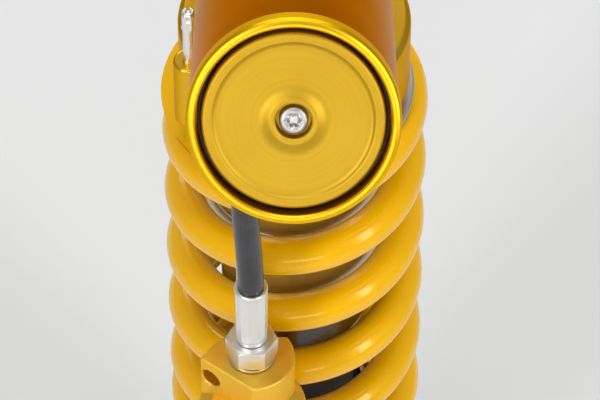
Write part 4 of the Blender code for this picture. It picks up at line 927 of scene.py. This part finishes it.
def bump_stop(foam, steel):
    """Bump rubber on its washer."""
    low, high = -0.21675, -0.17575
    outline = [(0.0083, low), (0.0182, low, 0.0006), (0.0190, low + 0.0012, 0.0008)]
    outline += layered(0.0190, low + 0.0030, low + 0.0140, 5)
    for part in sweep(0.0, 1.0, 24):
        waist = 0.0190 - 0.0030 * math.sin(math.pi * part) ** 2
        outline.append((waist, low + 0.0160 + part * 0.0065))
    outline += layered(0.0190, low + 0.0245, high - 0.0085, 4)
    outline += [
        (0.0188, high - 0.0070, 0.0010), (0.0162, high - 0.0004, 0.0012), (0.0155, high, 0.0004),
        (0.0083, high),
    ]
    rubber = turned("bump_stop", outline, steps=96)
    settle(rubber, foam, "shaft", "bump_foam", "bump_rubber")
    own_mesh(rubber)
    washer = ring("bump_plate", 0.0083, 0.0190, -0.21885, -0.21705, fillet=0.0004)
    settle(washer, steel, "shaft", "steel", "bump_washer")


def lower_seat(silver):
    seat = [
        (0.0218, -0.2143), (0.0380, -0.2143, 0.0004), (0.0392, -0.2131, 0.0005),
        (0.0392, -0.2064, 0.0005),
    ]
    seat += [
        (0.0277, -0.2064, 0.0005), (0.0273, -0.2060, 0.0004), (0.0265, -0.2012, 0.0006),
        (0.0240, -0.2012, 0.0004),
    ]
    seat += [(0.0240, -0.2058, 0.0004), (0.0233, -0.2064, 0.0003), (0.0218, -0.2064, 0.0003)]
    settle(turned("lower_seat", seat), silver, "shaft", "silver", "lower_spring_seat")


def lower_end(black, bronze, gold):
    """Clevis with its two arms, its bushes and the rebound knob in its window."""
    arms = bevelled(box_shape("arms", (-0.0190, -0.0110, LOWER_PIVOT), (0.0190, 0.0110, -0.2211)), 0.0012, 3)
    bake(arms)
    pivot = (0, 0, LOWER_PIVOT)
    across = (1, 0, 0)
    ends = [(0, -0.0185), (0.0127, -0.0185, 0.0003), (0.0135, -0.0177, 0.0003)]
    ends += [(0.0135, 0.0177, 0.0003), (0.0127, 0.0185, 0.0003), (0, 0.0185)]
    ends = turned("arm_ends", ends, pivot, across)
    cup = [(0, -0.2231), (0.0255, -0.2231, 0.0004), (0.0270, -0.2216, 0.0005), (0.0270, -0.2147, 0.0003)]
    cup += [
        (0.0215, -0.2147), (0.0215, -0.2074, 0.0002), (0.0197, -0.2074, 0.0002), (0.0197, -0.2191),
        (0, -0.2191),
    ]
    clevis = turned("clevis", cup)
    combine(clevis, "UNION", [arms, ends])
    low, high = LOWER_PIVOT - 0.0500, LOWER_PIVOT + 0.0260
    slot = bevelled(box_shape("slot", (-0.0100, -0.0500, low), (0.0100, 0.0500, high)), 0.0020, 4)
    bake(slot)
    window = bevelled(box_shape("window", (-0.0132, -0.0500, -0.2531), (0.0132, 0.0500, -0.2421)), 0.0008, 3)
    bake(window)
    bore = [
        (0, -0.0300), (0.0077, -0.0300), (0.0077, -0.0190), (0.0071, -0.0184), (0.0071, 0.0184),
        (0.0077, 0.0190), (0.0077, 0.0300), (0, 0.0300),
    ]
    cutters = [
        slot,
        window,
        rod("shaft_socket", 0.0083, -0.2346, -0.2100, fillet=0),
        rod("rod_bore", 0.0028, -0.2431, -0.2190, fillet=0),
        turned("bolt_bore", bore, pivot, across, 96),
    ]
    combine(clevis, "DIFFERENCE", cutters)
    clevis.data.shade_smooth()
    clevis.data.set_sharp_from_angle(angle=math.radians(35))
    settle(clevis, black, "shaft", "black", "lower_clevis")
    for side, word in ((-1, "left"), (1, "right")):
        bush = [
            (0.0051, 0.0102, 0.0003), (0.0068, 0.0102, 0.0003), (0.0068, 0.0193),
            (0.0086, 0.0193, 0.0002),
        ]
        bush += [(0.0086, 0.0206, 0.0003), (0.0051, 0.0206, 0.0004)]
        bush = turned(f"bush_{word}", bush, pivot, (side, 0, 0))
        settle(bush, bronze, "shaft", "bronze", f"lower_bush_{word}")

    def knurl(angle, radius, _):
        if radius < 0.0118:
            return radius
        return radius - 0.0006 * abs(((18 * angle / math.tau + 0.5) % 1.0) * 2 - 1)

    knob = [(0, -0.25265), (0.0112, -0.25265, 0.0003), (0.0125, -0.25165, 0.0003)]
    knob += layered(0.0125, -0.2512, -0.2441, 4)
    knob += [
        (0.0125, -0.24365, 0.0003), (0.0112, -0.24265, 0.0003), (0.0027, -0.24265),
        (0.0025, -0.2429), (0.0025, -0.24965), (0, -0.24965),
    ]
    grip = turned("rebound_grip", knob, steps=216, shape=knurl)
    settle(grip, gold, "rebound_adjuster", "gold", "rebound_knob")


# ---------------------------------------------------------------- spring


def coil_height(turn):
    """Height of the wire's middle after a number of turns from the spring's middle."""
    half = ACTIVE_TURNS / 2
    steepness = 1.0 / TRANSITION

    def ramp(value):
        """Zero before the closed coil ends, then straight, with a soft bend between."""
        return math.log1p(math.exp(min(60.0, steepness * value * 4))) / (steepness * 4)

    beyond = ramp(turn - half) - ramp(-turn - half)
    return turn * COIL_PITCH - beyond * (COIL_PITCH - END_PITCH)


def wire_point(angle, centre, half_length):
    """(outward, upward) of a point on the wire's section, flat where the spring's end is ground."""
    out, up = WIRE_RADIUS * math.cos(angle), WIRE_RADIUS * math.sin(angle)
    side = math.copysign(1, centre)
    limit = half_length - abs(centre)
    if side * up > limit:
        up = side * limit
    return out, up


def spring(yellow):
    """High-resolution coil whose sections move with the seat at the top and the shaft at the bottom."""
    low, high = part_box("spring")
    middle = (low.z + high.z) / 2
    half_length = (high.z - low.z) / 2
    free = half_length - WIRE_RADIUS - SEAT_CLEARANCE
    last = ACTIVE_TURNS / 2 + END_TURNS
    count = round(2 * last * COIL_STEPS)
    mesh = bmesh.new()
    loops = []
    shares = []
    for index in range(count + 1):
        turn = -last + 2 * last * index / count
        centre = coil_height(turn)
        around = COIL_MIDDLE_ANGLE + math.tau * turn
        loop = []
        for side in range(WIRE_SIDES):
            out, up = wire_point(math.tau * side / WIRE_SIDES, centre, half_length)
            radius = COIL_RADIUS + out
            point = (radius * math.sin(around), -radius * math.cos(around), middle + centre + up)
            loop.append(mesh.verts.new(point))
        loops.append(loop)
        shares.append(min(1.0, max(0.0, centre / (2 * free) + 0.5)))
    skin(mesh, loops)
    item = link("coil_spring", mesh)
    top = item.vertex_groups.new(name="top")
    bottom = item.vertex_groups.new(name="bottom")
    for index, share in enumerate(shares):
        members = list(range(index * WIRE_SIDES, (index + 1) * WIRE_SIDES))
        top.add(members, share, "REPLACE")
        bottom.add(members, 1.0 - share, "REPLACE")
    settle(item, yellow, "head", "spring_yellow", "spring")
    for group, body in (("top", "preload_seat"), ("bottom", "shaft")):
        hook = item.modifiers.new(f"{group}_end", "HOOK")
        hook.object = frame["bodies"][body]
        hook.matrix_inverse = Matrix.Identity(4)
        hook.falloff_type = "NONE"
        hook.strength = 1.0
        hook.vertex_group = group
    return item


# ---------------------------------------------------------------- whole object


def carry_over(finishes):
    """Pieces that stay as packed, inside the others, take their slot's finish."""
    for row in frame["record"]["subparts"]:
        item = frame["nodes"][row["node"]]
        item.data.materials.clear()
        item.data.materials.append(finishes[row["material_slot"]])


def build():
    gold = turned_gold("gold_anodised", (0.96, 0.56, 0.018), (0.82, 0.43, 0.010), 0.36)
    head_gold = anodised("gold_forged", (0.83, 0.48, 0.035), (0.66, 0.31, 0.014), 0.30, 0.00003, 0.5)
    block_gold = anodised("gold_satin_block", (0.98, 0.63, 0.085), (0.86, 0.49, 0.045), 0.48, 0.00003, 0.8)
    cap_gold = turned_gold("cap_satin_gold", (0.66, 0.41, 0.032), (0.58, 0.34, 0.020), 0.50)
    bronze = turned_bronze()
    bush_bronze = bright_metal("sintered_bronze", (0.55, 0.32, 0.13), 0.42, (0.32, 0.17, 0.06), False)
    silver = bright_metal("clear_anodised", (0.62, 0.61, 0.59), 0.30, (0.46, 0.45, 0.43))
    bright = bright_metal("bright_zinc", (0.84, 0.84, 0.82), 0.34, (0.68, 0.67, 0.65))
    plated = bright_metal("plated_steel", (0.66, 0.65, 0.63), 0.30, (0.45, 0.44, 0.42), False)
    screw_steel = bright_metal("screw_steel", (0.56, 0.54, 0.53), 0.36, (0.34, 0.33, 0.32), False)
    dark_steel = bright_metal("phosphated_steel", (0.16, 0.155, 0.15), 0.36, (0.08, 0.075, 0.07), False)
    oxide = bright_metal("black_oxide", (0.045, 0.038, 0.034), 0.45, (0.02, 0.018, 0.016), False)
    chrome = bright_metal("hard_chrome", (0.80, 0.80, 0.81), 0.10, (0.72, 0.72, 0.73))
    dark_tube = coated_tube()
    black = anodised("black_anodised", (0.018, 0.018, 0.020), (0.030, 0.029, 0.028), 0.36, 0.00003, 0.4)
    jacket = polymer("hose_jacket", (0.020, 0.019, 0.022), 0.24, 900.0, 0.000012)
    rubber = polymer("seal_rubber", (0.018, 0.018, 0.018), 0.60, 1500.0, 0.00003)
    foam = polymer("bump_foam", (0.026, 0.025, 0.024), 0.82, 2200.0, 0.00012)
    copper = bright_metal("crush_copper", (0.80, 0.38, 0.22), 0.32, (0.48, 0.20, 0.11), False)
    yellow = powder_yellow()

    carry_over(
        {
            "gold": gold,
            "satin_gold": cap_gold,
            "bronze": bush_bronze,
            "silver": silver,
            "steel": plated,
            "chrome": chrome,
            "dark_tube": dark_tube,
            "black": black,
            "hose_jacket": jacket,
            "rubber": rubber,
            "bump_foam": foam,
            "copper": copper,
            "spring_yellow": yellow,
        }
    )
    head_casting(head_gold)
    bearing(bright, plated)
    compression_adjuster(bright)
    reservoir(gold, cap_gold, bronze, screw_steel, oxide)
    hose_run(bright, plated, jacket, copper, plated)
    adjuster(block_gold, black, plated, dark_steel)
    bracket(plated, dark_steel)
    damper(silver, dark_tube, chrome, rubber)
    bump_stop(foam, plated)
    lower_seat(silver)
    lower_end(black, bush_bronze, head_gold)
    spring(yellow)


# ---------------------------------------------------------------- studio


def area_light(name, place, target, width, height, power):
    """A soft lamp that faces a target."""
    data = bpy.data.lights.new(name, "AREA")
    data.shape = "RECTANGLE"
    data.size = width
    data.size_y = height
    data.energy = power
    lamp = bpy.data.objects.new(name, data)
    bpy.context.scene.collection.objects.link(lamp)
    lamp.location = place
    lamp.rotation_mode = "QUATERNION"
    lamp.rotation_quaternion = (Vector(target) - Vector(place)).to_track_quat("-Z", "Y")
    return lamp


def studio():
    """Pale floor, soft lamps and a dim room."""
    floor_z = CAD_BOX[0][2] - 0.0005
    mesh = bmesh.new()
    corners = [(-6.0, -6.0), (6.0, -6.0), (6.0, 6.0), (-6.0, 6.0)]
    mesh.faces.new([mesh.verts.new((x, y, floor_z)) for x, y in corners])
    floor = link("floor", mesh)
    floor.data.materials.append(floor_paint())
    lamps = [
        area_light("key_left", (-0.75, -0.95, 0.75), (0, 0, -0.10), 0.28, 1.10, 7.5),
        area_light("key_right", (0.85, -0.75, 0.60), (0, 0, -0.10), 0.22, 1.00, 6.0),
        area_light("top", (0.0, 0.10, 1.35), (0, 0, -0.10), 0.90, 0.70, 5.5),
        area_light("front", (0.0, -1.50, 0.35), (0, 0, -0.15), 0.80, 0.35, 3.2),
        area_light("back", (0.0, 1.30, 0.55), (0, 0, -0.15), 1.10, 0.50, 6.0),
    ]
    world = bpy.data.worlds.new("soft_room")
    world.use_nodes = True
    world.node_tree.nodes["Background"].inputs["Color"].default_value = (0.90, 0.92, 0.95, 1.0)
    world.node_tree.nodes["Background"].inputs["Strength"].default_value = 0.36
    bpy.context.scene.world = world
    bpy.context.scene.view_settings.view_transform = "Standard"


def camera():
    data = bpy.data.cameras.new("camera")
    data.sensor_width = 36.0
    data.lens = CAMERA_LENS
    data.clip_start = 0.01
    data.clip_end = 20.0
    item = bpy.data.objects.new("camera", data)
    bpy.context.scene.collection.objects.link(item)
    ahead = Vector((0, math.cos(CAMERA_ELEVATION), -math.sin(CAMERA_ELEVATION)))
    item.location = Vector((CAMERA_SHIFT, 0, -CAMERA_DROP)) - CAMERA_DISTANCE * ahead
    item.rotation_mode = "QUATERNION"
    item.rotation_quaternion = ahead.to_track_quat("-Z", "Y")
    bpy.context.scene.camera = item


build()
studio()
camera()
